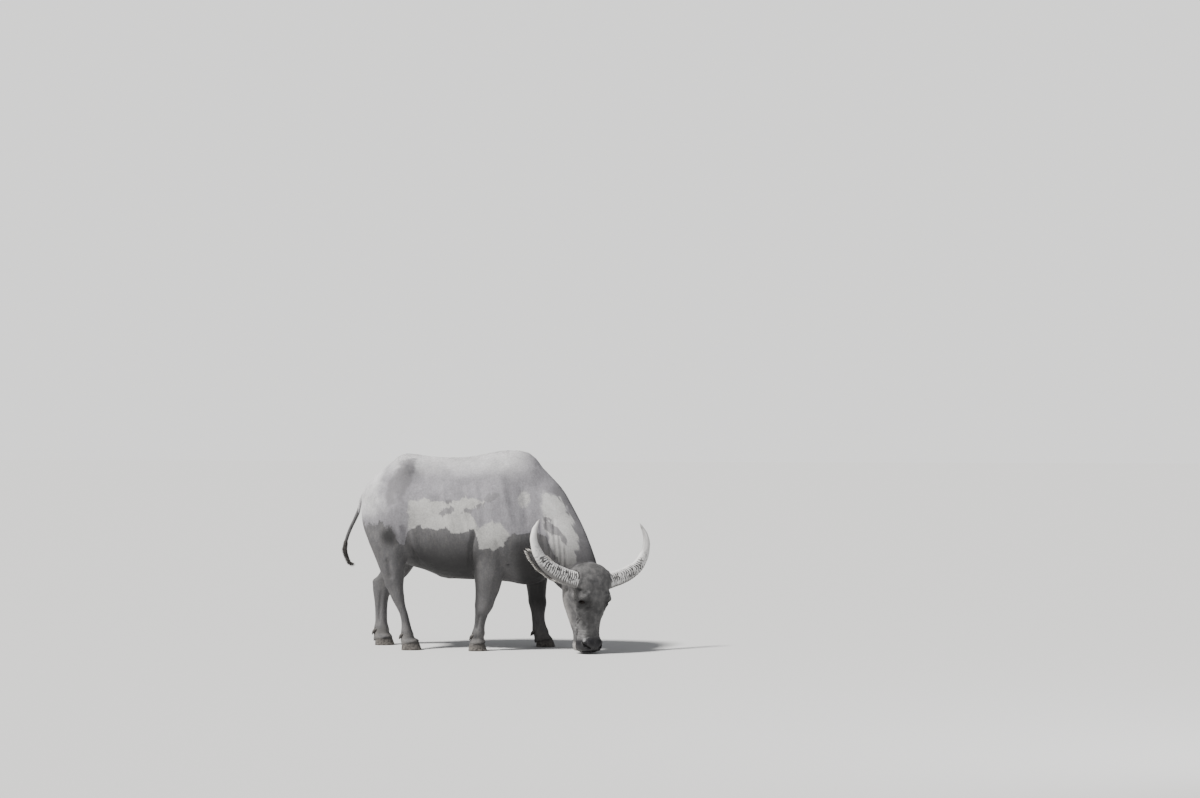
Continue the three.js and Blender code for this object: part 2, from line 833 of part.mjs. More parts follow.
// Head from neck: a plane behind the ears and the jaw
const napeNormal = onHead(1, 0, 0.8).sub(onHead(0, 0, 0));
const [headPart, neckPart] = part(front, onHead(-80, 0, 10), napeNormal);

let torso = rear;
for (const name of legNames) {
  const leg = LEGS[name];
  nodes.set(`leg_${name}`, largest(rear.intersect(legDoor(leg, 0))));
  torso = torso.subtract(legDoor(leg, GAP));
}
const [body, tail] = cutOff(torso, TAIL_LINE, 0.47, 26);
const switchRod = union([rod(SWITCH_LINE, switchRadius, 9, 8), ...switchLocks()]);
const [dock, brush] = part(union([tail, switchRod]), point(-1119, 84, 668), point(0.05, 0, 1));
nodes.set('torso', body);
nodes.set('tail', largest(dock));
nodes.set('tail_switch', largest(brush));
nodes.set('neck', largest(neckPart));
nodes.set('head', largest(headPart));

const skull = nodes.get('head');
SIDES.forEach(([name, sign], i) => {
  nodes.set(`ear_${name}`, largest(earLofts[i].subtract(skull).subtract(horn(sign, GAP))));
  nodes.set(`eye_${name}`, eyeBall(sign, EYE_RADIUS));
  nodes.set(`horn_${name}`, horn(sign));
});

for (const name of legNames) {
  const leg = LEGS[name];
  for (const [side, sign] of [['outer', Math.sign(leg.side)], ['inner', -Math.sign(leg.side)]]) {
    nodes.set(`claw_${name}_${side}`, claw(leg, sign));
    nodes.set(`dewclaw_${name}_${side}`, dewclaw(leg, sign));
    const key = `leg_${name}`;
    nodes.set(key, largest(nodes.get(key).subtract(dewclaw(leg, sign, GAP))));
  }
}

// Materials and meshes

const MATERIALS = {
  skin: { color: 0x4d4a4a, roughness: 0.75, metalness: 0 },
  horn: { color: 0x8d8a84, roughness: 0.6, metalness: 0 },
  hoof: { color: 0x4a4038, roughness: 0.6, metalness: 0 },
  eye: { color: 0x120d0a, roughness: 0.08, metalness: 0 },
  hair: { color: 0x33302e, roughness: 0.9, metalness: 0 },
};

function materialFor(name) {
  if (name.startsWith('horn')) return MATERIALS.horn;
  if (name.includes('claw')) return MATERIALS.hoof;
  if (name.startsWith('eye')) return MATERIALS.eye;
  if (name === 'tail_switch') return MATERIALS.hair;
  return MATERIALS.skin;
}

function meshOf(name, shape) {
  const { vertProperties, triVerts } = shape.getMesh();
  const geometry = new THREE.BufferGeometry();
  geometry.setAttribute('position', new THREE.BufferAttribute(new Float32Array(vertProperties), 3));
  geometry.setIndex(new THREE.BufferAttribute(new Uint32Array(triVerts), 1));
  geometry.computeVertexNormals();
  const mesh = new THREE.Mesh(geometry, new THREE.MeshStandardMaterial(materialFor(name)));
  mesh.name = name;
  return mesh;
}

const group = new THREE.Group();
for (const [name, shape] of nodes) group.add(meshOf(name, shape));

const box = new THREE.Box3().setFromObject(group);
group.position.set(-(box.min.x + box.max.x) / 2, -(box.min.y + box.max.y) / 2, -box.min.z);

export default group;
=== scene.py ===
"""A life-size water buffalo that grazes: skin, coat, horns, claws and eyes over its CAD frame."""

import math

import bmesh
import bpy
import numpy as np
from bpy.props import FloatProperty, FloatVectorProperty, IntProperty, PointerProperty
from mathutils import Matrix, Vector
from mathutils.bvhtree import BVHTree


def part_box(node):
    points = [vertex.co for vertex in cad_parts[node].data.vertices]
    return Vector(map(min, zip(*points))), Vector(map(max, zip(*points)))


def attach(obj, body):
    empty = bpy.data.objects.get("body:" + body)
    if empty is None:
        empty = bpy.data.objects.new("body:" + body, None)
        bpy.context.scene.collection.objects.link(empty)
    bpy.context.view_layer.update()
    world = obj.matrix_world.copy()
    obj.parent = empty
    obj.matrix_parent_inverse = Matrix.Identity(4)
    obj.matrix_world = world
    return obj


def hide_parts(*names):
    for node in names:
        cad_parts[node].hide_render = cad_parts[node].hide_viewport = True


bl_info = {
    "name": "Grazing water buffalo",
    "version": (1, 0, 0),
    "blender": (4, 5, 0),
    "location": "View3D > Sidebar > Buffalo",
    "description": "Dresses the solids of a grazing water buffalo with skin, coat, horns and eyes",
    "category": "Object",
}

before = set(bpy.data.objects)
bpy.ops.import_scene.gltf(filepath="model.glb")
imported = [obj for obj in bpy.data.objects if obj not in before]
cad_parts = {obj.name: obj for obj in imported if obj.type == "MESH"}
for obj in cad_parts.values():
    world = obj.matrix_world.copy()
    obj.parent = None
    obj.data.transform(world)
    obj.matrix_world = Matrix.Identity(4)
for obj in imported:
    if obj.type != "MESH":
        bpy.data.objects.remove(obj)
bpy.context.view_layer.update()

LEGS = ("fore_right", "fore_left", "hind_right", "hind_left")
SIDES = (("left", 1), ("right", -1))
FLESH = ("torso", "neck", "head", "tail") + tuple(f"leg_{leg}" for leg in LEGS)

# The animal's own frame: x = 0 under the withers, y to its left, z up from the ground.
# The outer claw of the right fore foot ends 0.106 behind that and 0.1925 to its right.
CLAW_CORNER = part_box("claw_fore_right_outer")[1]
ORIGIN = np.array([CLAW_CORNER[0] + 0.106, CLAW_CORNER[1] + 0.1925, 0.0])

HEAD_PLACE = np.array([0.623, -0.300, 0.565])  # the poll, in the animal's frame
HEAD_AXES = np.array(
    (Matrix.Rotation(math.radians(-46), 3, "Z") @ Matrix.Rotation(math.radians(-3.3), 3, "X"))
)
EYE = {"out": 0.008, "side": 0.088, "down": 0.234, "radius": 0.021, "sight": 62}
EYE_PLACE = np.array([EYE["out"], EYE["side"], EYE["down"]])
PUPIL = (0.0085, 0.0042)  # half width and half height


# Places and smooth functions


def on_head(out, left, down):
    """Points of the head, out of the face, to its left and down from the poll, in the row frame."""
    local = np.stack(np.broadcast_arrays(out, left, -np.asarray(down)), -1).astype(float)
    return local @ HEAD_AXES.T + HEAD_PLACE + ORIGIN


def from_head(places):
    """Row-frame points as out of the face, left and down from the poll."""
    local = (places - ORIGIN - HEAD_PLACE) @ HEAD_AXES
    return local * np.array([1, 1, -1])


def mirrored(places):
    """Places with those of the right side moved over to the left."""
    return places * [1, 0, 1] + np.abs(places) * [0, 1, 0]


def smooth(low, high, value):
    """A smooth step from 0 at low to 1 at high."""
    t = np.clip((value - low) / (high - low), 0, 1)
    return t * t * (3 - 2 * t)


def curve_through(pairs, value):
    """A smooth value through pairs of (place, value)."""
    places, values = np.array(pairs, float).T
    i = np.clip(np.searchsorted(places, value, side="right") - 1, 0, len(places) - 2)
    t = np.clip((value - places[i]) / (places[i + 1] - places[i]), 0, 1)
    return values[i] + (values[i + 1] - values[i]) * t * t * (3 - 2 * t)


def dense(points, count=60):
    """Points along a smooth curve through a few given ones."""
    points = np.asarray(points, float)
    if len(points) < 3:
        return points
    ends = np.vstack([2 * points[0] - points[1], points, 2 * points[-1] - points[-2]])
    out = []
    for i in range(len(points) - 1):
        p0, p1, p2, p3 = ends[i : i + 4]
        for t in np.linspace(0, 1, max(2, count // len(points)), endpoint=False):
            out.append(
                0.5
                * (
                    2 * p1
                    + (p2 - p0) * t
                    + (2 * p0 - 5 * p1 + 4 * p2 - p3) * t * t
                    + (3 * p1 - p0 - 3 * p2 + p3) * t * t * t
                )
            )
    out.append(points[-1])
    return np.array(out)


def distance_to_path(places, path, weights=(1, 1, 1)):
    """Distance from each place to a polyline, and how far along it the nearest point is, 0 to 1."""
    scale = np.asarray(weights, float)
    q = places * scale
    path = np.asarray(path, float) * scale
    lengths = np.linalg.norm(np.diff(path, axis=0), axis=1)
    starts = np.concatenate([[0], np.cumsum(lengths)])
    best = np.full(len(q), 1e9)
    along = np.zeros(len(q))
    for i, (a, b) in enumerate(zip(path[:-1], path[1:])):
        step = b - a
        t = np.clip(((q - a) @ step) / max(step @ step, 1e-12), 0, 1)
        gap = np.linalg.norm(q - a - t[:, None] * step, axis=1)
        closer = gap < best
        best[closer] = gap[closer]
        along[closer] = (starts[i] + t[closer] * lengths[i]) / starts[-1]
    return best, along


def value_noise(places, size, seed=0):
    """Smooth noise from 0 to 1 with blobs of about the given size."""
    p = places / size + seed * 17.13
    cell = np.floor(p).astype(np.int64)
    t = p - cell
    t = t * t * (3 - 2 * t)
    total = np.zeros(len(places))
    for corner in range(8):
        step = np.array([corner & 1, corner >> 1 & 1, corner >> 2 & 1])
        c = (cell + step) * np.array([73856093, 19349663, 83492791])
        mixed = (c[:, 0] ^ c[:, 1] ^ c[:, 2]) & 0xFFFFFF
        mixed = (mixed * 1103515245 + 12345) & 0xFFFFFF
        weight = np.prod(np.where(step, t, 1 - t), axis=1)
        total += weight * mixed / 0xFFFFFF
    return total


# Meshes


def mesh_arrays(mesh):
    """Places and normals of a mesh's points."""
    places = np.empty(len(mesh.vertices) * 3)
    mesh.vertices.foreach_get("co", places)
    normals = np.empty(len(mesh.vertices) * 3)
    mesh.vertices.foreach_get("normal", normals)
    return places.reshape(-1, 3), normals.reshape(-1, 3)


def set_places(mesh, places):
    """Moves all points of a mesh."""
    mesh.vertices.foreach_set("co", np.ascontiguousarray(places, dtype=np.float32).ravel())
    mesh.update()


def new_object(name, mesh, material):
    """A smooth object of a mesh, with one material."""
    obj = bpy.data.objects.new(name, mesh)
    bpy.context.scene.collection.objects.link(obj)
    mesh.materials.clear()
    mesh.materials.append(material)
    mesh.polygons.foreach_set("use_smooth", [True] * len(mesh.polygons))
    return obj


def object_from_bmesh(name, bm, material):
    """An object of a closed bmesh, with its faces turned outwards."""
    mesh = bpy.data.meshes.new(name)
    bmesh.ops.recalc_face_normals(bm, faces=bm.faces)
    bm.to_mesh(mesh)
    bm.free()
    return new_object(name, mesh, material)


def tube(bm, rings, close_start=True, close_end=True):
    """Skins a closed ring of points after another, by extruding a circle along them."""
    count = len(rings[0])
    made = bmesh.ops.create_circle(bm, cap_ends=False, segments=count, radius=1)["verts"]
    for vert, place in zip(made, rings[0]):
        vert.co = place
    current = list(made)
    edges = [bm.edges.get((current[i], current[(i + 1) % count])) for i in range(count)]
    if close_start:
        bmesh.ops.contextual_create(bm, geom=edges)
    for ring in rings[1:]:
        grown = bmesh.ops.extrude_edge_only(bm, edges=edges)["geom"]
        fresh = [g for g in grown if isinstance(g, bmesh.types.BMVert)]
        partner = {}
        for vert in fresh:
            for edge in vert.link_edges:
                other = edge.other_vert(vert)
                if other in current:
                    partner[other] = vert
        current = [partner[vert] for vert in current]
        for vert, place in zip(current, ring):
            vert.co = place
        edges = [bm.edges.get((current[i], current[(i + 1) % count])) for i in range(count)]
    if close_end:
        bmesh.ops.contextual_create(bm, geom=edges)
    return current


def merged_copy(names, swell=0.0):
    """One bmesh of some CAD nodes, with doubles merged and each point pushed out by swell."""
    bm = bmesh.new()
    for name in names:
        bm.from_mesh(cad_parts[name].data)
    bmesh.ops.remove_doubles(bm, verts=bm.verts, dist=1e-5)
    bm.normal_update()
    if swell:
        for vert in bm.verts:
            vert.co += vert.normal * swell
    return bm


def modified(mesh, kind, **settings):
    """A new mesh: the given one after a single modifier."""
    obj = bpy.data.objects.new("work", mesh)
    bpy.context.scene.collection.objects.link(obj)
    modifier = obj.modifiers.new("work", kind)
    groups = settings.pop("weights", None)
    if groups is not None:
        group = obj.vertex_groups.new(name="keep")
        levels = np.round(groups * 10).astype(int)
        for level in range(11):
            members = np.nonzero(levels == level)[0].tolist()
            if members:
                group.add(members, level / 10, "REPLACE")
        modifier.vertex_group = "keep"
    for key, value in settings.items():
        setattr(modifier, key, value)
    depsgraph = bpy.context.evaluated_depsgraph_get()
    result = bpy.data.meshes.new_from_object(obj.evaluated_get(depsgraph))
    bpy.data.objects.remove(obj)
    bpy.data.meshes.remove(mesh)
    return result


def neighbour_mean(mesh):
    """A function that gives each vertex the mean of its neighbours' values."""
    pairs = np.empty(len(mesh.edges) * 2, dtype=np.int32)
    mesh.edges.foreach_get("vertices", pairs)
    a, b = pairs.reshape(-1, 2).T
    here, there = np.concatenate([a, b]), np.concatenate([b, a])
    size = len(mesh.vertices)
    count = np.maximum(np.bincount(here, minlength=size), 1)[:, None]

    def mean(values):
        sums = [np.bincount(here, values[there, k], minlength=size) for k in range(3)]
        return np.stack(sums, 1) / count

    return mean


def relax(mesh, rounds):
    """Laplacian smoothing, each vertex for its own number of rounds."""
    places, _ = mesh_arrays(mesh)
    mean = neighbour_mean(mesh)
    for step in range(int(np.ceil(rounds.max()))):
        weight = np.clip(rounds - step, 0, 1)[:, None] * 0.6
        places += weight * (mean(places) - places)
    set_places(mesh, places)


def unfold(mesh):
    """Evens out the few vertices that thinning the mesh has folded over."""
    mean = neighbour_mean(mesh)
    for _ in range(4):
        _, normals = mesh_arrays(mesh)
        around = mean(normals)
        length = np.maximum(np.linalg.norm(around, axis=1), 1e-9)
        folded = (normals * around).sum(1) / length < 0.6
        if not folded.any():
            break
        relax(mesh, folded * 3.0)


# Skin


def legs_of(places):
    """How much each place belongs to the legs below the body, 0 to 1."""
    return 1 - smooth(0.48, 0.66, places[:, 2])


def smoothing_rounds(places, coarse):
    """Rounds of smoothing for each place of the skin."""
    body = places - ORIGIN
    head = from_head(places)
    in_head = smooth(-0.26, -0.12, head[:, 0] + 0.45 * head[:, 2])
    in_tail = smooth(-0.99, -1.02, body[:, 0])
    rounds = 70 - 58 * np.maximum(legs_of(places), in_head)
    rounds = rounds * (1 - in_tail) + 6 * in_tail
    z = places[:, 2]
    on_feet = 4 + 8 * smooth(0.09, 0.13, z) + 80 * smooth(0.13, 0.2, z)
    return np.minimum(rounds, on_feet) * coarse


# Forms on the body: side, path in x and z, width, height. They lie on the side's outer surface.
BODY_LINES = (
    ("both", [(-0.66, 1.19), (-0.80, 1.14), (-0.93, 1.06)], 0.030, 0.006),  # hip to pin bone
    ("both", [(-0.40, 1.14), (-0.36, 0.95), (-0.30, 0.80), (-0.20, 0.66)], 0.022, 0.004),  # last rib
    ("both", [(-0.02, 1.20), (0.03, 0.98), (0.08, 0.80)], 0.026, 0.007),  # ridge of the blade
    ("both", [(-0.15, 1.14), (-0.11, 0.95), (-0.10, 0.78)], 0.030, -0.006),  # behind the blade
    ("both", [(0.13, 1.10), (0.16, 0.92), (0.17, 0.78)], 0.030, -0.007),  # before the blade
    ("right", [(-0.16, 0.80), (-0.19, 0.68), (-0.215, 0.54)], 0.016, -0.012),  # elbow crease
    ("left", [(-0.02, 0.80), (-0.02, 0.68), (0.01, 0.56)], 0.016, -0.012),
    ("both", [(-0.66, 0.82), (-0.62, 0.70), (-0.575, 0.60)], 0.022, -0.012),  # behind the flank fold
    ("both", [(-0.60, 0.80), (-0.555, 0.66), (-0.50, 0.55)], 0.026, 0.010),  # flank fold
    ("both", [(-0.86, 1.05), (-0.88, 0.90), (-0.84, 0.72)], 0.026, -0.006),  # thigh muscles
    ("both", [(-0.76, 1.10), (-0.74, 0.92), (-0.68, 0.76)], 0.030, -0.005),
    ("right", [(-0.03, 0.74), (0.0, 0.62), (-0.02, 0.50)], 0.018, -0.005),  # upper arm
)

BODY_SPOTS = (
    ((-0.645, 0.215, 1.205), (0.045, 0.060, 0.035), 0.012),  # hip bone
    ((-0.52, 0.24, 1.14), (0.070, 0.080, 0.060), -0.012),  # hollow before it
    ((-0.925, 0.105, 1.03), (0.035, 0.040, 0.035), 0.008),  # pin bone
    ((0.10, 0.23, 0.72), (0.060, 0.080, 0.060), 0.010),  # point of the shoulder
    ((-0.08, 0.27, 0.72), (0.080, 0.070, 0.090), 0.009),  # triceps
    ((0.20, 0.0, 0.47), (0.120, 0.060, 0.050), 0.014),  # brisket
    ((-0.58, 0.22, 0.70), (0.050, 0.070, 0.060), 0.008),  # stifle
)

# Creases of the neck: path in x and z, width, depth, on the right and then on the left
NECK_FOLDS = (
    ("right", [(0.245, 0.86), (0.262, 0.74), (0.285, 0.62)], 0.0085, -0.0065),
    ("right", [(0.285, 0.90), (0.305, 0.76), (0.325, 0.60)], 0.0095, -0.0075),
    ("right", [(0.335, 0.88), (0.350, 0.74), (0.365, 0.56)], 0.0085, -0.0065),
    ("right", [(0.375, 0.78), (0.392, 0.66), (0.400, 0.54)], 0.0080, -0.0060),
    ("right", [(0.415, 0.70), (0.428, 0.60), (0.425, 0.50)], 0.0080, -0.0060),
    ("left", [(0.30, 0.92), (0.36, 0.76), (0.40, 0.58)], 0.014, -0.004),
    ("left", [(0.40, 0.80), (0.46, 0.66), (0.50, 0.50)], 0.014, -0.004),
)

# Each leg: side, then x of the back and front edge at the knee or hock, and its height
LEG_FORMS = {
    "fore_right": {"y": -0.190, "joint": (-0.188, -0.068, 0.290), "foot": (-0.200, -0.120)},
    "fore_left": {"y": 0.175, "joint": (0.110, 0.226, 0.290), "foot": (0.134, 0.238)},
    "hind_right": {"y": -0.184, "joint": (-0.778, -0.663, 0.410), "foot": (-0.678, -0.602)},
    "hind_left": {"y": 0.163, "joint": (-0.951, -0.752, 0.425), "foot": (-0.938, -0.840)},
}
FOOT_HALF_WIDTH = 0.08
FOOT_REACH = 0.13


def body_push(places, normals):
    """How far each place of the body and legs is pushed out for bones, muscles and folds."""
    body = places - ORIGIN
    push = np.zeros(len(places))
    outward = np.abs(normals[:, 1])
    head = from_head(places)
    off_head = 1 - smooth(-0.10, -0.02, head[:, 0] + 0.8 * head[:, 2])
    for side, path, width, height in BODY_LINES + NECK_FOLDS:
        path = dense([(x, 0, z) for x, z in path], 24)
        gap, along = distance_to_path(body, path, (1, 0, 1))
        fade = np.clip(np.minimum(along, 1 - along) * 5, 0, 1)
        which = {"both": 1.0, "right": body[:, 1] < 0, "left": body[:, 1] > 0}[side]
        there = which * fade * smooth(0.25, 0.7, outward)
        push += there * height * 1.4 * np.exp(-((gap / width) ** 2))
    for at, reach, height in BODY_SPOTS:
        far = ((mirrored(body) - at) / reach) ** 2
        push += height * np.exp(-far.sum(1))
    spine = smooth(0.10, 0.02, np.abs(body[:, 1])) * smooth(0.55, 0.9, normals[:, 2])
    knobs = 0.5 + 0.5 * np.sin(body[:, 0] * 2 * math.pi / 0.062)
    push += spine * smooth(1.1, 1.2, body[:, 2]) * (0.004 + 0.0018 * knobs)
    ribs = smooth(-0.42, -0.34, body[:, 0]) * smooth(-0.10, -0.18, body[:, 0])
    ribs = ribs * smooth(0.66, 0.78, body[:, 2]) * smooth(1.14, 1.05, body[:, 2]) * outward
    push += 0.0018 * ribs * np.sin((body[:, 0] + 0.28 * body[:, 2]) * 2 * math.pi / 0.056)
    tail_end = smooth(-0.99, -1.02, body[:, 0]) * smooth(0.705, 0.670, body[:, 2])
    push -= 0.006 * tail_end
    return push * off_head + leg_push(body)


def leg_push(body):
    """Bones, tendons and joints of the lower legs."""
    push = np.zeros(len(body))
    for name, leg in LEG_FORMS.items():
        back, front, level = leg["joint"]
        foot_back, foot_front = leg["foot"]
        y = leg["y"]
        near = (np.abs(body[:, 1] - y) < 0.11) & (body[:, 2] < 0.66)
        near &= (body[:, 0] > min(back, foot_back) - 0.08) & (body[:, 0] < front + 0.16)
        p = body[near]
        amount = np.zeros(len(p))
        hind = name.startswith("hind")
        spots = [
            ((foot_back + 0.006, y, 0.112), (0.022, 0.05, 0.026), 0.005),  # fetlock, behind
            ((foot_front - 0.006, y, 0.105), (0.022, 0.05, 0.022), 0.003),
        ]
        if hind:
            spots.append(((back + 0.004, y, level + 0.015), (0.022, 0.035, 0.028), 0.009))
            spots.append(((front - 0.02, y, level - 0.06), (0.03, 0.05, 0.03), 0.004))
        else:
            spots.append(((front - 0.006, y, level), (0.028, 0.045, 0.034), 0.006))
            spots.append(((back + 0.010, y, level + 0.010), (0.018, 0.035, 0.020), 0.004))
            spots.append((((back + front) / 2, y, level - 0.055), (0.05, 0.06, 0.014), -0.003))
        for at, reach, height in spots:
            amount += height * np.exp(-(((p - at) / reach) ** 2).sum(1))
        split = 0.36  # the groove between the bone and the tendons behind it
        low = foot_back + split * (foot_front - foot_back)
        high = back + split * (front - back)
        gap, along = distance_to_path(p, [(low, 0, 0.135), (high, 0, level - 0.05)], (1, 0, 1))
        fade = np.clip(np.minimum(along, 1 - along) * 6, 0, 1)
        amount -= 0.0050 * fade * np.exp(-((gap / 0.009) ** 2))
        if hind:
            path = [(back + 0.045, 0, level + 0.05), (back + 0.02, 0, level + 0.20)]
            gap, along = distance_to_path(p, path, (1, 0, 1))
            fade = np.clip(np.minimum(along, 1 - along) * 6, 0, 1)
            amount -= 0.010 * fade * np.exp(-((gap / 0.016) ** 2))
        heel, toe = (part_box(f"claw_{name}_outer")[k][0] - ORIGIN[0] for k in (0, 1))
        cap = 0.010 if name == "hind_right" else 0.001  # brings the skin out to the toe's top
        far = ((p - (toe - 0.032, y, 0.063)) / (0.020, 0.060, 0.015)) ** 2
        amount += cap * np.exp(-far.sum(1))
        above = p[:, 2] - coronet(p[:, 0], heel, toe)
        amount += 0.0030 * np.exp(-(((above - 0.004) / 0.010) ** 2))
        pastern = np.exp(-(((above - 0.030) / 0.014) ** 2)) * smooth(0, 0.05, p[:, 0] - heel)
        cleft = np.exp(-(((p[:, 1] - y) / 0.006) ** 2)) * smooth(0.05, 0.02, above)
        amount -= 0.0030 * pastern
        amount -= 0.0050 * cleft
        push[near] += amount
    return push


def above_claws(places):
    """For each foot: which places are near it, and how far above the tops of its claws they lie."""
    for name, leg in LEG_FORMS.items():
        low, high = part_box(f"claw_{name}_outer")
        aside = np.abs(places[:, 1] - (leg["y"] + ORIGIN[1]))
        ahead = np.abs(places[:, 0] - (low[0] + high[0]) / 2)
        above = places[:, 2] - coronet(places[:, 0], low[0], high[0])
        yield (aside < FOOT_HALF_WIDTH) & (ahead < FOOT_REACH), above


def over_the_claws(places):
    """Draws the lower rim of each foot down over the tops of its claws."""
    places = places.copy()
    for near, above in above_claws(places):
        places[:, 2] -= near * 0.0035 * smooth(0.020, 0.002, above)
    return places


# Forms of the head: the way they are seen, a path, a width and a height. From the side the path
# is in out and down, from the front it is in side and down.
HEAD_LINES = (
    ("side", [(-0.045, 0.262), (-0.030, 0.300), (-0.020, 0.345)], 0.015, 0.0050),  # cheek bone
    ("side", [(-0.095, 0.295), (-0.110, 0.350), (-0.125, 0.395)], 0.014, -0.0060),
    ("side", [(-0.004, 0.302), (-0.034, 0.322), (-0.080, 0.357)], 0.0060, 0.0030),  # wrinkles
    ("side", [(-0.006, 0.312), (-0.034, 0.334), (-0.077, 0.368)], 0.0045, -0.0030),
    ("side", [(-0.009, 0.323), (-0.035, 0.345), (-0.074, 0.379)], 0.0060, 0.0030),
    ("side", [(-0.010, 0.334), (-0.034, 0.356), (-0.068, 0.389)], 0.0045, -0.0024),
    ("side", [(-0.090, 0.385), (-0.074, 0.410), (-0.058, 0.440)], 0.0070, -0.0060),  # mouth corner
    ("side", [(-0.100, 0.400), (-0.086, 0.424), (-0.074, 0.450)], 0.0080, 0.0030),
    ("side", [(0.020, 0.280), (0.008, 0.360), (0.000, 0.430)], 0.019, -0.0055),  # beside the nose
    ("side", [(-0.030, 0.120), (-0.050, 0.200)], 0.024, -0.0085),  # temple
    ("side", [(-0.022, 0.140), (0.010, 0.152), (0.036, 0.158)], 0.0070, -0.0060),  # under the horn
    ("side", [(-0.120, 0.150), (-0.165, 0.240), (-0.180, 0.320)], 0.028, 0.0050),  # jaw
    ("side", [(-0.150, 0.130), (-0.100, 0.170), (-0.090, 0.240)], 0.016, -0.0045),
    ("front", [(0.036, 0.260), (0.032, 0.360), (0.030, 0.440)], 0.011, 0.0032),  # nose
    ("front", [(0.0, 0.150), (0.0, 0.250)], 0.022, -0.0035),
    ("front", [(0.0, 0.300), (0.0, 0.440)], 0.010, -0.0018),
    ("front", [(0.050, 0.166), (0.078, 0.180), (0.094, 0.204)], 0.014, 0.0080),  # brow
    ("front", [(0.068, 0.212), (0.070, 0.242), (0.060, 0.275)], 0.013, -0.0080),
    ("front", [(0.060, 0.462), (0.042, 0.452), (0.018, 0.456)], 0.0050, -0.0028),
    ("front", [(0.0, 0.470), (0.0, 0.545)], 0.0045, -0.0028),
)

HEAD_SPOTS = (
    ((0.050, 0.0, 0.085), (0.06, 0.080, 0.070), 0.0060),  # brow between the horns
    ((-0.006, 0.122, 0.192), (0.022, 0.030, 0.020), 0.0070),  # upper lid and its rim
    ((-0.019, 0.106, 0.276), (0.020, 0.030, 0.012), 0.0034),
    ((-0.130, 0.110, 0.225), (0.050, 0.080, 0.060), 0.0060),  # cheek
    ((0.034, 0.056, 0.492), (0.018, 0.020, 0.016), 0.0060),  # wing of the nostril
    ((0.010, 0.074, 0.486), (0.018, 0.020, 0.016), 0.0040),
    ((0.036, 0.026, 0.520), (0.016, 0.014, 0.022), 0.0040),
    ((-0.030, 0.080, 0.500), (0.026, 0.030, 0.034), 0.0045),  # upper lip
    ((-0.100, 0.045, 0.515), (0.024, 0.045, 0.030), 0.0060),  # lower lip
    ((-0.130, 0.0, 0.470), (0.030, 0.060, 0.030), 0.0050),  # chin
)

# The line between the lips: down from the poll, and out of the face
MOUTH = (
    (0.41, -0.078),
    (0.44, -0.068),
    (0.48, -0.066),
    (0.515, -0.062),
    (0.55, -0.056),
    (0.58, -0.05),
)


def mouth_gap(p):
    """How far each place lies out of the line between the lips."""
    return p[:, 0] - curve_through(MOUTH, p[:, 2])


def horn_seat(head):
    """How far each place of the head lies from a horn's middle line, 1 at the horn's edge."""
    return np.hypot((head[:, 0] + 0.026) / 0.034, (head[:, 2] - 0.090) / 0.052)


def head_push(places):
    """How far each place of the head is pushed out for bones, lips and folds."""
    head = from_head(places)
    inside = smooth(-0.14, -0.06, head[:, 0] + 0.8 * head[:, 2])
    near = (inside > 0) & (head[:, 2] > -0.05) & (np.abs(head[:, 1]) < 0.2)
    p = mirrored(head[near])
    push = np.zeros(len(p))
    for mode, path, width, height in HEAD_LINES:
        if mode == "side":
            path, weights = [(a, 0, b) for a, b in path], (1, 0, 1)
            there = smooth(0.045, 0.060, p[:, 1])
        else:
            path, weights = [(0, a, b) for a, b in path], (0, 1, 1)
            there = smooth(-0.02, 0.01, p[:, 0])
        gap, along = distance_to_path(p, dense(path, 24), weights)
        fade = np.clip(np.minimum(along, 1 - along) * 4, 0, 1)
        push += height * fade * there * np.exp(-((gap / width) ** 2))
    for at, reach, height in HEAD_SPOTS:
        push += height * np.exp(-(((p - at) / reach) ** 2).sum(1))
    gap = mouth_gap(p)
    lips = smooth(0.408, 0.425, p[:, 2])
    push += lips * (np.exp(-((gap / 0.012) ** 2)) * 0.0035 - np.exp(-((gap / 0.0042) ** 2)) * 0.0150)
    away = p - EYE_PLACE
    ring = np.linalg.norm(away, axis=1)
    above = smooth(-0.2, 0.5, (-away[:, 2] - 0.3 * away[:, 0]) / np.maximum(ring, 1e-6))
    push += 0.0060 * above * np.exp(-(((ring - 0.041) / 0.013) ** 2))
    window = smooth(0.050, 0.058, ring) * smooth(0.100, 0.082, ring) * smooth(0.03, 0.0, p[:, 0])
    push += 0.0007 * above * window * np.cos(ring * 2 * math.pi / 0.0125 + 2 * np.sin(p[:, 0] * 40))
    collar = np.exp(-(((horn_seat(p) - 1.12) / 0.16) ** 2))
    push += 0.0065 * smooth(0.085, 0.10, p[:, 1]) * collar
    wrinkles = np.sin(p[:, 2] * 2 * math.pi / 0.017 + 3 * np.sin(p[:, 1] * 30))
    band = smooth(0.39, 0.41, p[:, 2]) * smooth(0.47, 0.44, p[:, 2]) * smooth(0.02, 0.05, p[:, 1])
    push += 0.0006 * wrinkles * band
    out = np.zeros(len(places))
    out[near] = push * inside[near]
    return out


NOSTRIL = (
    (0.037, 0.036, 0.530),
    (0.032, 0.052, 0.521),
    (0.014, 0.067, 0.508),
    (0.004, 0.074, 0.494),
)


def nostril_depth(places):
    """How deep the comma-shaped nostrils go at each place."""
    p = mirrored(from_head(places))
    gap, along = distance_to_path(p, dense(NOSTRIL, 20))
    width = 0.0095 - 0.003 * along
    return (0.016 - 0.006 * along) * np.exp(-((gap / width) ** 4)) * (p[:, 2] > 0.44)


def head_area(places):
    """1 on the head's face and muzzle, 0 well behind it."""
    head = from_head(places)
    return smooth(-0.16, -0.08, head[:, 0] + 0.45 * head[:, 2]) * (head[:, 2] > -0.06)


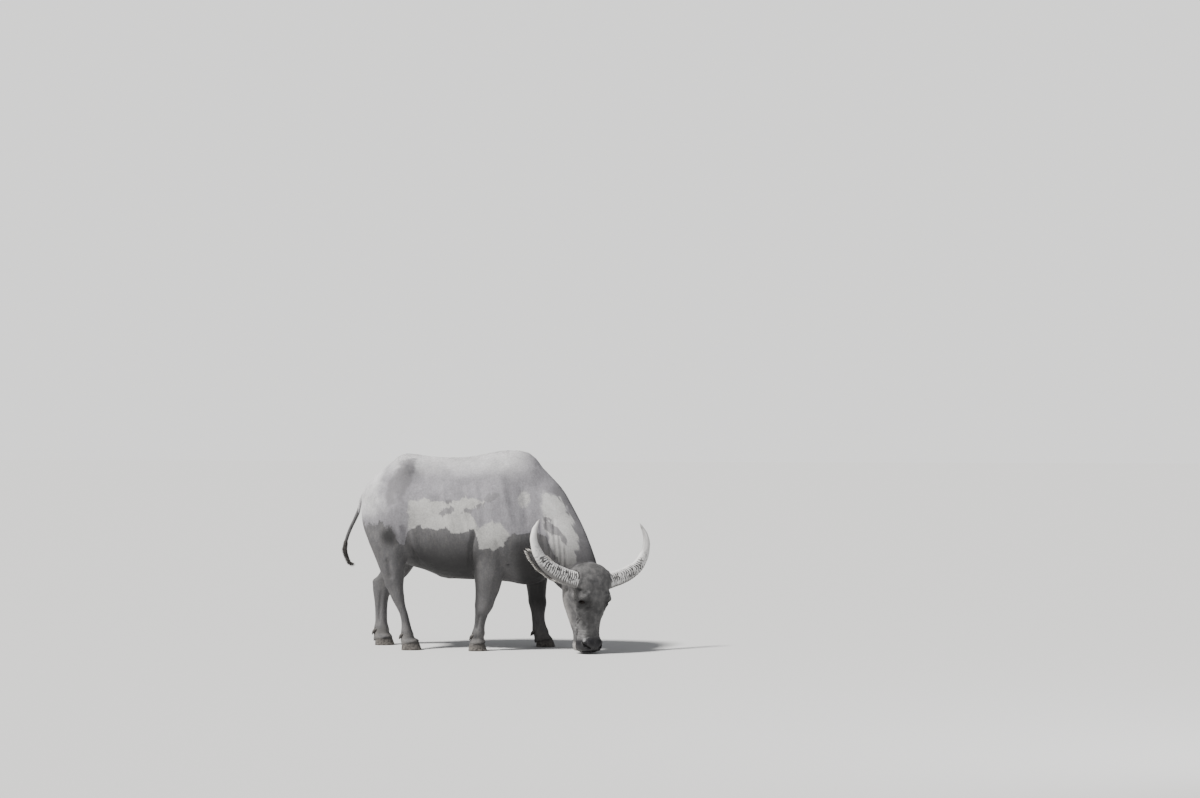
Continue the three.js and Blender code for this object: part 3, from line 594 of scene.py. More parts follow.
def split_faces(bm, chosen, roundness):
    """Splits the edges of the faces whose middles, on the mirrored head, are chosen."""
    middles = np.array([face.calc_center_median()[:] for face in bm.faces])
    bm.faces.ensure_lookup_table()
    wanted = np.nonzero(chosen(mirrored(from_head(middles))))[0]
    edges = dict.fromkeys(edge for i in wanted for edge in bm.faces[i].edges)
    bmesh.ops.subdivide_edges(
        bm, edges=list(edges), cuts=1, use_grid_fill=True, smooth=roundness
    )


def refine_face(mesh):
    """Finer faces on the muzzle, the cheeks and round the eyes, and finer still at the openings."""

    def face(p):
        out, side, down = p.T
        muzzle = (down > 0.40) & (side < 0.13) & (out > -0.2)
        cheek = (down > 0.27) & (out > -0.10) & (side < 0.17) & (side > 0.04)
        return muzzle | cheek | (np.linalg.norm(p - EYE_PLACE, axis=1) < 0.055)

    def openings(p):
        gap, _ = distance_to_path(p, NOSTRIL)
        at_rim = (gap < 0.019) | (np.abs(mouth_gap(p)) < 0.009)
        return at_rim & (p[:, 2] > 0.41) & (p[:, 0] > -0.14)

    bm = bmesh.new()
    bm.from_mesh(mesh)
    split_faces(bm, face, 0.4)
    split_faces(bm, openings, 0.3)
    bmesh.ops.triangulate(bm, faces=[f for f in bm.faces if len(f.verts) > 4])
    bm.to_mesh(mesh)
    bm.free()


def sculpted_skin(settings):
    """The whole hide as one mesh: remeshed, smoothed, and shaped by bones, muscles and folds."""
    bm = merged_copy(FLESH, 0.0006)
    mesh = bpy.data.meshes.new("skin")
    bm.to_mesh(mesh)
    bm.free()
    size = settings.voxel * 1
    mesh = modified(mesh, "REMESH", mode="VOXEL", voxel_size=size, adaptivity=0)
    places, _ = mesh_arrays(mesh)
    relax(mesh, smoothing_rounds(places, (0.005 / size) ** 2))
    places, normals = mesh_arrays(mesh)
    set_places(mesh, places + normals * body_push(places, normals)[:, None])
    places, _ = mesh_arrays(mesh)
    set_places(mesh, over_the_claws(places))
    keep = 1 - 0.9 * head_area(places)
    count = sum(len(p.vertices) - 2 for p in mesh.polygons)
    target = settings.skin_triangles * 1
    mesh = modified(
        mesh, "DECIMATE", ratio=min(1, target / count), use_collapse_triangulate=True, weights=keep
    )
    unfold(mesh)
    refine_face(mesh)
    places, normals = mesh_arrays(mesh)
    depth = nostril_depth(places)
    set_places(mesh, places - normals * depth[:, None])
    relax(mesh, np.minimum(depth / 0.002, 6))
    places, normals = mesh_arrays(mesh)
    set_places(mesh, places + normals * head_push(places)[:, None])
    places, normals = mesh_arrays(mesh)
    depth = settings.coat_depth * (1 - 0.8 * head_area(places))
    rough = value_noise(places, 0.045, 3) - 0.5 + 0.5 * (value_noise(places, 0.016, 5) - 0.5)
    depth = depth - 0.0012 * rough
    set_places(mesh, places - normals * depth[:, None])
    return mesh


# Ears


EARS = {"left": (6, 42), "right": (43, 30)}  # degrees raised and swept back
EAR_LENGTH = 0.350
EAR_ROOT = (-0.096, 0.148, 0.120)
# Half width, depth of the cup and thickness, from the root at 0 to the tip at 1
EAR_HALF = (
    (0, 0.019),
    (0.14, 0.026),
    (0.35, 0.051),
    (0.6, 0.054),
    (0.82, 0.037),
    (0.95, 0.016),
    (1, 0.004),
)
EAR_CUP = ((0, 0.022), (0.3, 0.030), (0.6, 0.024), (1, 0.005))
EAR_THICK = ((0, 0.015), (0.2, 0.0085), (0.8, 0.006), (1, 0.003))


def on_ear(name, sign, x, y, z):
    """Points of an ear, x out of its cup and y along it, in the row frame."""
    raised, swept = EARS[name]
    turn = (
        Matrix.Rotation(math.radians(raised), 3, "X")
        @ Matrix.Rotation(math.radians(swept), 3, "Z")
        @ Matrix.Rotation(math.radians(20), 3, "Y")
    )
    local = np.stack(np.broadcast_arrays(x, y, z), -1).astype(float) @ np.array(turn).T
    out, side, down = EAR_ROOT
    return on_head(local[..., 0] + out, (local[..., 1] + side) * sign, down - local[..., 2])


def ear_surface(name, sign, t, u, inner):
    """A point of the cup, t from the root to the tip, u from the lower to the upper rim."""
    half = curve_through(EAR_HALF, t)
    ripple = 0.0016 * np.sin(t * 21 + 2 * u) * (1 - t)
    x = -curve_through(EAR_CUP, t) * (1 - u * u) + ripple
    y = EAR_LENGTH * t - 0.024
    if not inner:
        x = x - curve_through(EAR_THICK, t) * (1 - 0.72 * u * u)
    return on_ear(name, sign, x, y, half * u)


def add_ears(bm):
    """Both ears as closed cups."""
    for name, sign in SIDES:
        across = np.linspace(-1, 1, 17)
        rings = []
        for t in 0.5 - 0.5 * np.cos(np.pi * np.linspace(0.02, 1, 30)):
            outer = [ear_surface(name, sign, t, u, False) for u in across]
            inner = [ear_surface(name, sign, t, u, True) for u in across[-2:0:-1]]
            rings.append(outer + inner)
        tube(bm, rings)


# Eyes and lids

LID_FOLDS = (  # place from the lids' edge, width, height above the eye and below it
    (0.15, 0.030, 0.0020, 0.0014),
    (0.23, 0.022, -0.0022, -0.0014),
    (0.33, 0.035, 0.0024, 0.0018),
    (0.43, 0.026, -0.0014, -0.0010),
    (0.53, 0.040, 0.0014, 0.0008),
)


def eye_axes(sign):
    """Centre, line of sight, forward and up of an eye, in the row frame."""
    centre = on_head(EYE["out"], EYE["side"] * sign, EYE["down"])
    angle = math.radians(EYE["sight"])
    sight = HEAD_AXES @ np.array([math.cos(angle), math.sin(angle) * sign, 0.08])
    sight /= np.linalg.norm(sight)
    up = HEAD_AXES @ np.array([0.12, 0, 1.0])
    up -= sight * (up @ sight)
    up /= np.linalg.norm(up)
    forward = np.cross(up, sight) * sign
    return centre, sight, forward, up


def lid_opening(theta):
    """Distance of the lids' edge from the line of sight in a direction round it."""
    across, above, below = 0.0195, 0.0132, 0.0122
    high = np.where(np.sin(theta) > 0, above, below)
    c, s = np.abs(np.cos(theta)), np.abs(np.sin(theta))
    return ((c / across) ** 1.7 + (s / high) ** 1.7) ** (-1 / 1.7)


def lid_height(theta, step, rho, ground):
    """Height of the lids and their folds over the eye's centre, along the line of sight."""
    radius = EYE["radius"]
    above = float(smooth(-0.35, 0.6, math.sin(theta - 0.4)))
    below = float(smooth(-0.1, 0.7, -math.sin(theta)))
    lid = math.sqrt(max((radius + 0.0036) ** 2 - rho**2, 0))
    if rho > radius * 0.96:
        lid = min(lid, 0.0195 - (rho - radius * 0.96) * 1.5)
    shift = 0.03 * math.sin(2 * theta) + 0.02 * math.sin(5 * theta)
    fold = 0.0
    for place, width, high, low in LID_FOLDS:
        size = high * above + low * below
        fold += size * math.exp(-(((step - place - shift) / width) ** 2))
    skin = ground + 0.0035 * math.exp(-((step / 0.42) ** 2)) - 0.0030 * float(smooth(0.5, 1, step))
    sharp = 260.0
    height = math.log(math.exp(sharp * lid) + math.exp(sharp * skin)) / sharp
    height += fold * float(smooth(0.03, 0.14, step)) * float(smooth(0.78, 0.5, step))
    return min(height, skin) if step > 0.85 else height


def add_lids(bm, tree):
    """Lids and the folds round them: a height field over the eye with an almond hole."""
    radius, reach = EYE["radius"], 0.062
    angles = np.linspace(0, 2 * np.pi, 72, endpoint=False)
    for _, sign in SIDES:
        centre, sight, forward, up = eye_axes(sign)
        rings = []
        for step in np.concatenate([[-1, 0], np.linspace(0.04, 1, 26)]):
            ring = []
            for theta in angles:
                edge = float(lid_opening(theta))
                rho = edge + 0.0012 if step < 0 else edge + (reach - edge) * step**1.2
                flat = forward * math.cos(theta) * rho + up * math.sin(theta) * rho * 0.86
                if step < 0:
                    height = math.sqrt(max(radius**2 - rho**2, 0)) - 0.0012
                else:
                    hit = tree.ray_cast(Vector(centre + flat + sight * 0.09), Vector(-sight), 0.15)
                    ground = (Vector(hit[0]) - Vector(centre)) @ Vector(sight) if hit[0] else -0.02
                    height = lid_height(theta, step, rho, ground)
                ring.append(centre + flat + sight * height)
            rings.append(ring)
        tube(bm, rings, close_start=False, close_end=False)


# Markings: how much mud and dust each place of the hide carries, and where shade and highlights are painted
# on it

# Centres of the painted highlight on the upper lid and of the painted shade before the eye, and the line of
# painted shade under each horn
LID_HIGHLIGHT = (-0.024, 0.128, 0.190)
INNER_CORNER = (0.038, 0.076, 0.242)
UNDER_HORN = ((-0.022, 0, 0.138), (0.012, 0, 0.152), (0.036, 0, 0.17))
NOSTRIL_WAY = np.array([0.685, 0.678, 0.266])  # the way out of a nostril
POLL_STRIP = ((0.545, -0.270, 0.685), (0.585, -0.280, 0.635))
TIDE = (  # x and the height above which dried mud covers the hide
    (-1.02, 0.86), (-0.93, 0.84), (-0.838, 0.817), (-0.80, 0.86), (-0.764, 0.803), (-0.73, 0.815),
    (-0.692, 0.736), (-0.675, 0.693), (-0.65, 0.69), (-0.62, 0.782), (-0.57, 0.80), (-0.536, 0.832),
    (-0.528, 0.782), (-0.469, 0.817), (-0.425, 0.78), (-0.351, 0.803), (-0.292, 0.781), (-0.22, 0.773),
    (-0.174, 0.795), (-0.152, 0.736), (-0.123, 0.671), (-0.041, 0.664), (0.003, 0.693), (0.062, 0.758),
    (0.134, 0.773), (0.202, 0.781), (0.28, 0.75), (0.36, 0.62), (0.42, 0.50),
)
BAND_END = (  # height and the x where the pale band over the flank ends
    (0.66, -0.14), (0.80, -0.165), (0.87, -0.17), (0.90, -0.20), (0.93, -0.18), (0.96, -0.11), (1.02, 0.0),
)
NECK_FRONT = (  # height and the x of both edges of the pale patch on the neck
    (0.50, 0.47), (0.59, 0.489), (0.693, 0.504), (0.766, 0.482), (0.84, 0.445), (0.927, 0.416),
    (0.999, 0.357), (1.028, 0.298), (1.06, 0.25),
)
NECK_BACK = (
    (0.50, 0.42), (0.59, 0.387), (0.649, 0.357), (0.73, 0.325), (0.824, 0.283), (0.999, 0.269), (1.06, 0.26),
)
BARE_SPOTS = (  # x, z, half length, half width and tilt of spots where the mud has come off
    (-0.348, 0.915, 0.056, 0.018, 0.45),
    (-0.220, 0.912, 0.038, 0.011, 0.20),
    (-0.344, 0.980, 0.037, 0.008, 0.10),
    (-0.062, 1.009, 0.050, 0.020, 0.35),
    (-0.439, 0.882, 0.023, 0.010, 0.20),
    (-0.128, 0.957, 0.140, 0.005, 0.42),
    (0.330, 0.800, 0.060, 0.026, -0.55),
    (0.410, 0.730, 0.034, 0.015, -1.00),
    (0.300, 0.860, 0.030, 0.010, -0.30),
)
HIP_ARCH = (  # the brushed edge round the hip, in x and z
    ([(-0.62, 1.225), (-0.675, 1.17), (-0.715, 1.10), (-0.735, 1.03), (-0.73, 0.98)], 0.040),
    ([(-0.625, 1.225), (-0.605, 1.19), (-0.618, 1.12), (-0.645, 1.04)], 0.028),
    ([(-0.64, 1.20), (-0.655, 1.13), (-0.675, 1.05)], 0.060),
)


def mud_marks(body, head, wobble):
    """Film of dried mud, crust and pale dust on it, a painted highlight on the rump and the top of the back,
    and bare spots, 0 to 1 at each place.
    """
    x, y, z = body.T
    left = smooth(0.02, 0.12, y)
    tide = curve_through(TIDE, x + left * (0.07 + 0.03 * np.sin(9 * x))) + 0.02 * left
    soft = 0.008 + 0.11 * smooth(-0.67, -0.74, x) * (z < 0.95)
    nape = smooth(-0.15, -0.03, head[:, 0] + 0.8 * head[:, 2] + 1.6 * wobble)
    film = smooth(-soft, soft, z - tide + wobble) * (1 - nape) * smooth(-1.05, -1.01, x)
    top = 0.985 + 0.010 * np.sin(x * 23) + wobble
    mx = x + left * (0.05 + 0.04 * np.sin(8 * x))  # the left side has spots of its own
    mz = z + left * 0.030 * np.sin(12 * x + 1)
    flank = smooth(0.008, -0.008, mz - top) * smooth(-0.66, -0.57, mx + wobble)
    flank *= smooth(0.008, -0.008, mx - curve_through(BAND_END, mz) + wobble)
    patch = smooth(1.15, 0.85, np.hypot((mx + 0.05) / 0.115, (mz - 0.735) / 0.11) + 5 * wobble)
    small = smooth(1.1, 0.9, np.hypot((mx - 0.142) / 0.045, (mz - 0.99) / 0.06))
    patch = np.maximum(patch, 0.6 * small)
    neck = smooth(0.008, -0.008, mx - curve_through(NECK_FRONT, mz) + 1.3 * wobble)
    neck *= smooth(-0.05, 0.02, mx - curve_through(NECK_BACK, mz) + wobble)
    neck *= smooth(1.07, 1.0, mz + wobble)
    crust = np.maximum(np.maximum(flank, patch), neck) * film
    # painted highlight on the rump and along the top of the back, in the palest tone
    rump = smooth(-0.74, -0.87, x + 2.5 * wobble + 0.025 * np.sin(9 * z + 8 * y))
    rump *= smooth(0.84, 0.92, z)
    back = smooth(1.10, 1.26, z + wobble) * smooth(0.22, 0.02, x)
    strip, _ = distance_to_path(body, POLL_STRIP)
    chalk_and_highlight = np.maximum(np.maximum(0.80 * rump, 0.70 * back), 0.45 * neck)
    chalk_and_highlight = np.maximum(chalk_and_highlight, 0.9 * smooth(0.026, 0.010, strip)) * film
    bare = np.zeros(len(body))
    for sx, sz, long, short, tilt in BARE_SPOTS:
        dx, dz = mx - sx + 0.6 * wobble, mz - sz + 0.5 * wobble
        a = dx * math.cos(tilt) + dz * math.sin(tilt)
        b = -dx * math.sin(tilt) + dz * math.cos(tilt)
        bare = np.maximum(bare, smooth(1.35, 0.85, np.hypot(a / long, b / short)))
    for path, width in HIP_ARCH:
        gap, _ = distance_to_path(body, dense([(px, 0, pz) for px, pz in path], 24), (1, 0, 1))
        bare = np.maximum(bare, 0.62 * smooth(1.7, 0.2, gap / width + 16 * wobble))
    crest = (1 - neck) * smooth(0.26, 0.36, x) * film
    bare = np.maximum(bare, 0.75 * crest)
    return {"film": film, "crust": crust, "chalk_and_highlight": chalk_and_highlight, "bare": bare}


def painted_body_shade(body, in_head):
    """Painted shade on the belly, the chest and the spot behind the thigh, weaker on the lower legs and on
    the gaskin where the light falls.
    """
    x, y, z = body.T
    shade = 0.9 * smooth(0.085, 0.02, np.hypot(x + 0.745, (z - 0.745) * 0.9))
    belly = np.maximum(smooth(-0.66, -0.56, x) * smooth(-0.13, -0.18, x), smooth(0.05, 0.14, x))
    belly = np.maximum(belly, smooth(0.10, 0.05, np.abs(y)) * (z > 0.4))
    shade = np.maximum(shade, (0.18 + 0.72 * belly) * smooth(0.82, 0.54, z) * (1 - in_head))
    # painted light: less painted shade on the gaskin, where the light falls on it
    gaskin = np.exp(-(((x + 0.755) / 0.055) ** 2) - ((z - 0.60) / 0.085) ** 2)
    return shade * (1 - 0.6 * smooth(0.34, 0.12, z)) * (1 - 0.8 * gaskin)


def painted_socket_shade(p, wobble):
    """Painted shade round the eyes, before them and under the horns, and a painted highlight on the fold
    over the eye's corner.
    """
    # painted shade in the eye's socket
    socket = smooth(0.056, 0.022, np.linalg.norm((p - EYE_PLACE) * [1, 1, 0.9], axis=1))
    # painted highlight on the upper lid
    lit = np.exp(-((np.linalg.norm(p - LID_HIGHLIGHT, axis=1) / 0.024) ** 2))
    blur = np.linalg.norm((p - INNER_CORNER) * [1, 1, 0.85], axis=1) + 0.5 * wobble
    shade = np.maximum(socket * (1 - 0.8 * lit), 0.85 * smooth(0.060, 0.016, blur))
    gap, _ = distance_to_path(p, dense(UNDER_HORN), (1, 0, 1))
    return np.maximum(shade, 0.8 * smooth(0.014, 0.003, gap) * (p[:, 1] > 0.05)), lit


def head_marks(head, wobble, in_head):
    """Painted shade in the sockets, on the front of the face and in the nostrils; the wet muzzle; pale lips;
    painted highlight on the jaw and the lids.
    """
    p = mirrored(head)
    out, side, down = p.T
    lips = mouth_gap(head)
    muzzle = smooth(0.455, 0.49, down + 0.25 * (out + 0.03)) * smooth(-0.004, 0.004, lips)
    lip = smooth(0.485, 0.515, down) * smooth(0.0, -0.008, lips)
    # painted highlight along the lower edge of the jaw
    jaw = smooth(-0.10, -0.16, out) * smooth(0.42, 0.36, down)
    socket, lit = painted_socket_shade(p, wobble)
    # painted shade on the front of the face, deeper on the side turned from the light
    front = smooth(0.17, 0.24, down + wobble) * smooth(-0.012, 0.022, out + wobble)
    front *= smooth(0.085, 0.055, side) * (0.55 + 0.45 * smooth(0.02, -0.02, head[:, 1] + out))
    # painted shade inside the nostrils
    flat_p, path = (q - np.outer(q @ NOSTRIL_WAY, NOSTRIL_WAY) for q in (p, dense(NOSTRIL, 20)))
    gap, _ = distance_to_path(flat_p, path)
    hole = smooth(0.0090, 0.0060, gap) * smooth(0.44, 0.46, down) * smooth(-0.045, -0.03, out)
    # dark is all painted shade; pale is the real pale lips with the painted highlights
    dark = np.maximum(np.maximum(0.92 * socket, 0.62 * front) * in_head, hole)
    wet = muzzle * in_head * (1 - hole)
    pale = np.maximum(np.maximum(lip, 0.85 * jaw), 0.45 * lit) * in_head
    return dark, wet, pale


def markings(places):
    """Fields of the hide: film of mud, crust, pale dust with painted highlight, bare skin, painted shade,
    wet skin, and pale skin with painted highlight.
    """
    body = places - ORIGIN
    head = from_head(places)
    in_head = smooth(-0.10, -0.05, head[:, 0] + 0.8 * head[:, 2])
    flat = places * [1, 0.3, 1]
    wobble = 0.030 * (value_noise(flat, 0.050, 1) - 0.5)
    wobble += 0.022 * (value_noise(flat, 0.018, 2) - 0.5)
    dark, wet, pale = head_marks(head, wobble, in_head)
    return mud_marks(body, head, wobble) | {
        # dark: painted shade on the body's underside and in the face's hollows
        "dark": np.maximum(painted_body_shade(body, in_head), dark),
        "wet": wet,
        "pale": pale,
        "dust": smooth(0.20, 0.02, body[:, 2]) * (1 - in_head),
        "face": in_head,
    }


def store_values(mesh, fields):
    """Keeps values of a mesh's points as one attribute each."""
    for name, values in fields.items():
        made = mesh.attributes.new(name, "FLOAT", "POINT")
        made.data.foreach_set("value", np.ascontiguousarray(values, dtype=np.float32))


# Shader nodes


def fill_socket(tree, socket, value):
    """Links a socket, or sets the number it holds."""
    if isinstance(value, bpy.types.NodeSocket):
        tree.links.new(value, socket)
    else:
        socket.default_value = value


def add(tree, kind, settings=None, **inputs):
    """A new node, its settings, and its inputs by name: a socket is linked, a number is set."""
    made = tree.nodes.new(kind)
    for key, value in (settings or {}).items():
        setattr(made, key, value)
    for key, value in inputs.items():
        fill_socket(tree, made.inputs[key.replace("_", " ")], value)
    return made


def maths(tree, operation, a, b=0.0):
    """Two values put together by a Math node."""
    made = tree.nodes.new("ShaderNodeMath")
    made.operation = operation
    for socket, value in zip(made.inputs, (a, b)):
        fill_socket(tree, socket, value)
    return made.outputs[0]


def times(tree, a, b):
    return maths(tree, "MULTIPLY", a, b)


def plus(tree, a, b):
    return maths(tree, "ADD", a, b)


def swing(tree, value, amount):
    """A value from 0 to 1 as one that swings evenly round 0."""
    return times(tree, maths(tree, "SUBTRACT", value, 0.5), amount)


def mix(tree, factor, a, b, blend="MIX"):
    """Two colours mixed. Each is a socket or three numbers."""
    made = tree.nodes.new("ShaderNodeMix")
    made.data_type = "RGBA"
    made.blend_type = blend
    fill_socket(tree, made.inputs[0], factor)
    for index, value in ((6, a), (7, b)):
        plain = not isinstance(value, bpy.types.NodeSocket)
        fill_socket(tree, made.inputs[index], (*value[:3], 1) if plain else value)
    return made.outputs[2]


def grey(tree, value):
    """A value as a colour."""
    return add(tree, "ShaderNodeCombineColor", Red=value, Green=value, Blue=value).outputs[0]


def object_place(tree):
    """Where a point of the object lies."""
    return tree.nodes.new("ShaderNodeTexCoord").outputs["Object"]


def rise(tree, value, low, high, to_low=0.0, to_high=1.0):
    """A smooth step of a value between two levels."""
    made = add(
        tree,
        "ShaderNodeMapRange",
        {"interpolation_type": "SMOOTHSTEP", "clamp": True},
        Value=value,
        From_Min=low,
        From_Max=high,
        To_Min=to_low,
        To_Max=to_high,
    )
    return made.outputs[0]


def noise(tree, vector, scale, detail=4.0, roughness=0.55, distortion=0.0):
    """Soft noise from 0 to 1, its blobs about 1 / scale wide."""
    made = add(
        tree,
        "ShaderNodeTexNoise",
        Vector=vector,
        Scale=scale,
        Detail=detail,
        Roughness=roughness,
        Distortion=distortion,
    )
    return made.outputs["Fac"]


def stretched(tree, vector, scale):
    """Places scaled along each axis, so that a pattern on them is drawn out."""
    return add(tree, "ShaderNodeMapping", Vector=vector, Scale=scale).outputs[0]


def cells(tree, vector, scale):
    """Distance from the borders of small uneven cells."""
    settings = {"feature": "DISTANCE_TO_EDGE"}
    made = add(tree, "ShaderNodeTexVoronoi", settings, Vector=vector, Scale=scale)
    return made.outputs["Distance"]


def attribute(tree, name):
    """A value that the mesh keeps for each point."""
    made = tree.nodes.new("ShaderNodeAttribute")
    made.attribute_name = name
    return made.outputs["Fac"]


def new_group(name, inputs, outputs):
    """An empty shader node group with named inputs (name, kind, default) and outputs."""
    group = bpy.data.node_groups.new(name, "ShaderNodeTree")
    for label, kind, default in inputs:
        socket = group.interface.new_socket(label, in_out="INPUT", socket_type=kind)
        socket.default_value = default
    for label, kind in outputs:
        group.interface.new_socket(label, in_out="OUTPUT", socket_type=kind)
    start = group.nodes.new("NodeGroupInput")
    end = group.nodes.new("NodeGroupOutput")
    return group, start, end


def use_group(tree, group, **inputs):
    """A node that uses a group, its inputs by name."""
    made = tree.nodes.new("ShaderNodeGroup")
    made.node_tree = group
    for key, value in inputs.items():
        fill_socket(tree, made.inputs[key.replace("_", " ")], value)
    return made


# The tones of the hide, from clean skin to the palest dust. The palest also gives the painted highlight on
# the rump and back, and Pale the painted highlight on the jaw and lids
HIDE_TONES = {
    "Slate": (0.082, 0.080, 0.083),
    "Film": (0.218, 0.211, 0.226),
    "Crust": (0.345, 0.340, 0.325),
    "Chalk_and_highlight": (0.500, 0.495, 0.495),
    "Dust": (0.165, 0.155, 0.143),
    "Pale": (0.270, 0.258, 0.250),
}
FACE_TONES = ((0.048, 0.047, 0.048), (0.115, 0.112, 0.111))
# The tone of painted shade
PAINTED_SHADE_TONE = (0.006, 0.0056, 0.006)
WET_TONE = (0.013, 0.0125, 0.014)


def hide_markings():
    """The colour of the hide with its painted shade and highlights, and how rough and muddy it is, the same
    for skin and coat.
    """
    if "Hide markings" in bpy.data.node_groups:
        return bpy.data.node_groups["Hide markings"]
    kind = "NodeSocketColor"
    tree, start, end = new_group(
        "Hide markings",
        [(label, kind, (*tone, 1)) for label, tone in HIDE_TONES.items()],
        (("Color", kind), ("Roughness", "NodeSocketFloat"), ("Mud", "NodeSocketFloat")),
    )
    slate, filmy, crusty, chalk_and_highlight, dusty, pale = (start.outputs[label] for label in HIDE_TONES)
    where = object_place(tree)
    fine = noise(tree, where, 95, 5, 0.6)
    middle = noise(tree, where, 24, 5, 0.6)
    broad = noise(tree, where, 6.5, 4, 0.55)
    streaks = noise(tree, stretched(tree, where, (70, 70, 22)), 1.0, 5, 0.6, 0.4)
    ragged = plus(tree, swing(tree, fine, 0.5), swing(tree, middle, 0.7))
    film = rise(tree, plus(tree, attribute(tree, "film"), ragged), 0.40, 0.60)
    crust = rise(tree, plus(tree, attribute(tree, "crust"), ragged), 0.30, 0.78)
    bare = rise(tree, plus(tree, attribute(tree, "bare"), ragged), 0.28, 0.66)
    base = mix(tree, rise(tree, streaks, 0.42, 0.68, 0.0, 0.22), slate, dusty)
    on_face = mix(tree, rise(tree, middle, 0.3, 0.7), *FACE_TONES)
    base = mix(tree, attribute(tree, "face"), base, on_face)
    washed = mix(tree, rise(tree, streaks, 0.35, 0.70), filmy, mix(tree, 0.22, filmy, slate))
    tone = mix(tree, times(tree, film, 0.94), base, washed)
    off_crack = rise(tree, cells(tree, where, 60), 0.0, 0.07)
    crust_tone = mix(tree, off_crack, mix(tree, 0.7, filmy, crusty), crusty)
    tone = mix(tree, times(tree, crust, 0.9), tone, crust_tone)
    # pale dust, with the painted highlight on the rump and the back
    chalk_and_highlight_amount = times(tree, attribute(tree, "chalk_and_highlight"), rise(tree, streaks, 0.25, 0.6, 0.55, 1.0))
    tone = mix(tree, times(tree, chalk_and_highlight_amount, film), tone, chalk_and_highlight)
    tone = mix(tree, times(tree, bare, 0.85), tone, mix(tree, 0.35, base, filmy))
    dust = times(tree, attribute(tree, "dust"), rise(tree, middle, 0.3, 0.6))
    tone = mix(tree, times(tree, dust, 0.6), tone, dusty)
    # pale: real pale lips and ears and the painted highlight on jaw and lids; dark: painted shade
    for name, under in (("pale", pale), ("dark", PAINTED_SHADE_TONE), ("wet", WET_TONE)):
        tone = mix(tree, attribute(tree, name), tone, under)
    uneven = times(
        tree, rise(tree, broad, 0.3, 0.7, 0.84, 1.14), rise(tree, fine, 0.3, 0.7, 0.88, 1.12)
    )
    tone = mix(tree, 1.0, tone, grey(tree, uneven), "MULTIPLY")
    mud = maths(tree, "MAXIMUM", film, crust)
    shine = times(tree, attribute(tree, "wet"), 0.22)
    tree.links.new(tone, end.inputs["Color"])
    tree.links.new(
        maths(tree, "SUBTRACT", rise(tree, mud, 0, 1, 0.62, 0.9), shine), end.inputs["Roughness"]
    )
    tree.links.new(mud, end.inputs["Mud"])
    return tree


def new_material(name, **values):
    """A material with its Principled BSDF, whose plain values are set on its own sockets."""
    material = bpy.data.materials.new(name)
    material.use_nodes = True
    shader = material.node_tree.nodes["Principled BSDF"]
    for key, value in values.items():
        shader.inputs[key.replace("_", " ")].default_value = value
    return material, material.node_tree, shader


def bump(tree, shader, height, distance, strength=1.0):
    """Relief of a material, from a height."""
    made = add(tree, "ShaderNodeBump", Height=height, Distance=distance, Strength=strength)
    tree.links.new(made.outputs[0], shader.inputs["Normal"])


def skin_material():
    """Creased hide with short flat hair, beaded and wet on the muzzle."""
    material, tree, shader = new_material("skin", Specular_IOR_Level=0.35)
    marks = use_group(tree, hide_markings())
    where = object_place(tree)
    tree.links.new(marks.outputs["Color"], shader.inputs["Base Color"])
    tree.links.new(marks.outputs["Roughness"], shader.inputs["Roughness"])
    hair = noise(tree, stretched(tree, where, (260, 260, 70)), 1.0, 4, 0.6, 0.6)
    pores = cells(tree, where, 260)
    folds = noise(tree, stretched(tree, where, (34, 34, 15)), 1.0, 5, 0.6, 0.8)
    creases = noise(tree, stretched(tree, where, (110, 110, 45)), 1.0, 3, 0.55, 1.2)
    pits = rise(tree, pores, 0, 0.12)
    mud = marks.outputs["Mud"]
    height = times(tree, hair, 0.6)
    for relief, strength in ((pits, 0.10), (creases, 0.45), (folds, 0.6), (mud, 0.25)):
        height = plus(tree, height, times(tree, relief, strength))
    dry = maths(tree, "SUBTRACT", 1.0, times(tree, attribute(tree, "wet"), 0.93))
    height = times(tree, height, dry)
    beads = times(tree, rise(tree, cells(tree, where, 230), 0, 0.3), attribute(tree, "wet"))
    height = plus(tree, height, times(tree, beads, 0.05))
    bump(tree, shader, height, 0.003, 0.8)
    return material


def coat_material():
    """Hair in the tones of the hide under it."""
    material, tree, shader = new_material("coat", Roughness=0.75, Specular_IOR_Level=0.3)
    marks = use_group(tree, hide_markings())
    where = object_place(tree)
    shade = rise(tree, noise(tree, where, 140, 2, 0.5), 0.3, 0.7, 0.75, 1.35)
    colour = mix(tree, 1.0, marks.outputs["Color"], grey(tree, shade), "MULTIPLY")
    tree.links.new(colour, shader.inputs["Base Color"])
    return material


def hair_material(name, dark, pale):
    """Coarse hair between two tones."""
    material, tree, shader = new_material(name, Roughness=0.7, Specular_IOR_Level=0.3)
    where = object_place(tree)
    tone = rise(tree, noise(tree, where, 160, 3, 0.6), 0.32, 0.68)
    tree.links.new(mix(tree, tone, dark, pale), shader.inputs["Base Color"])
    return material


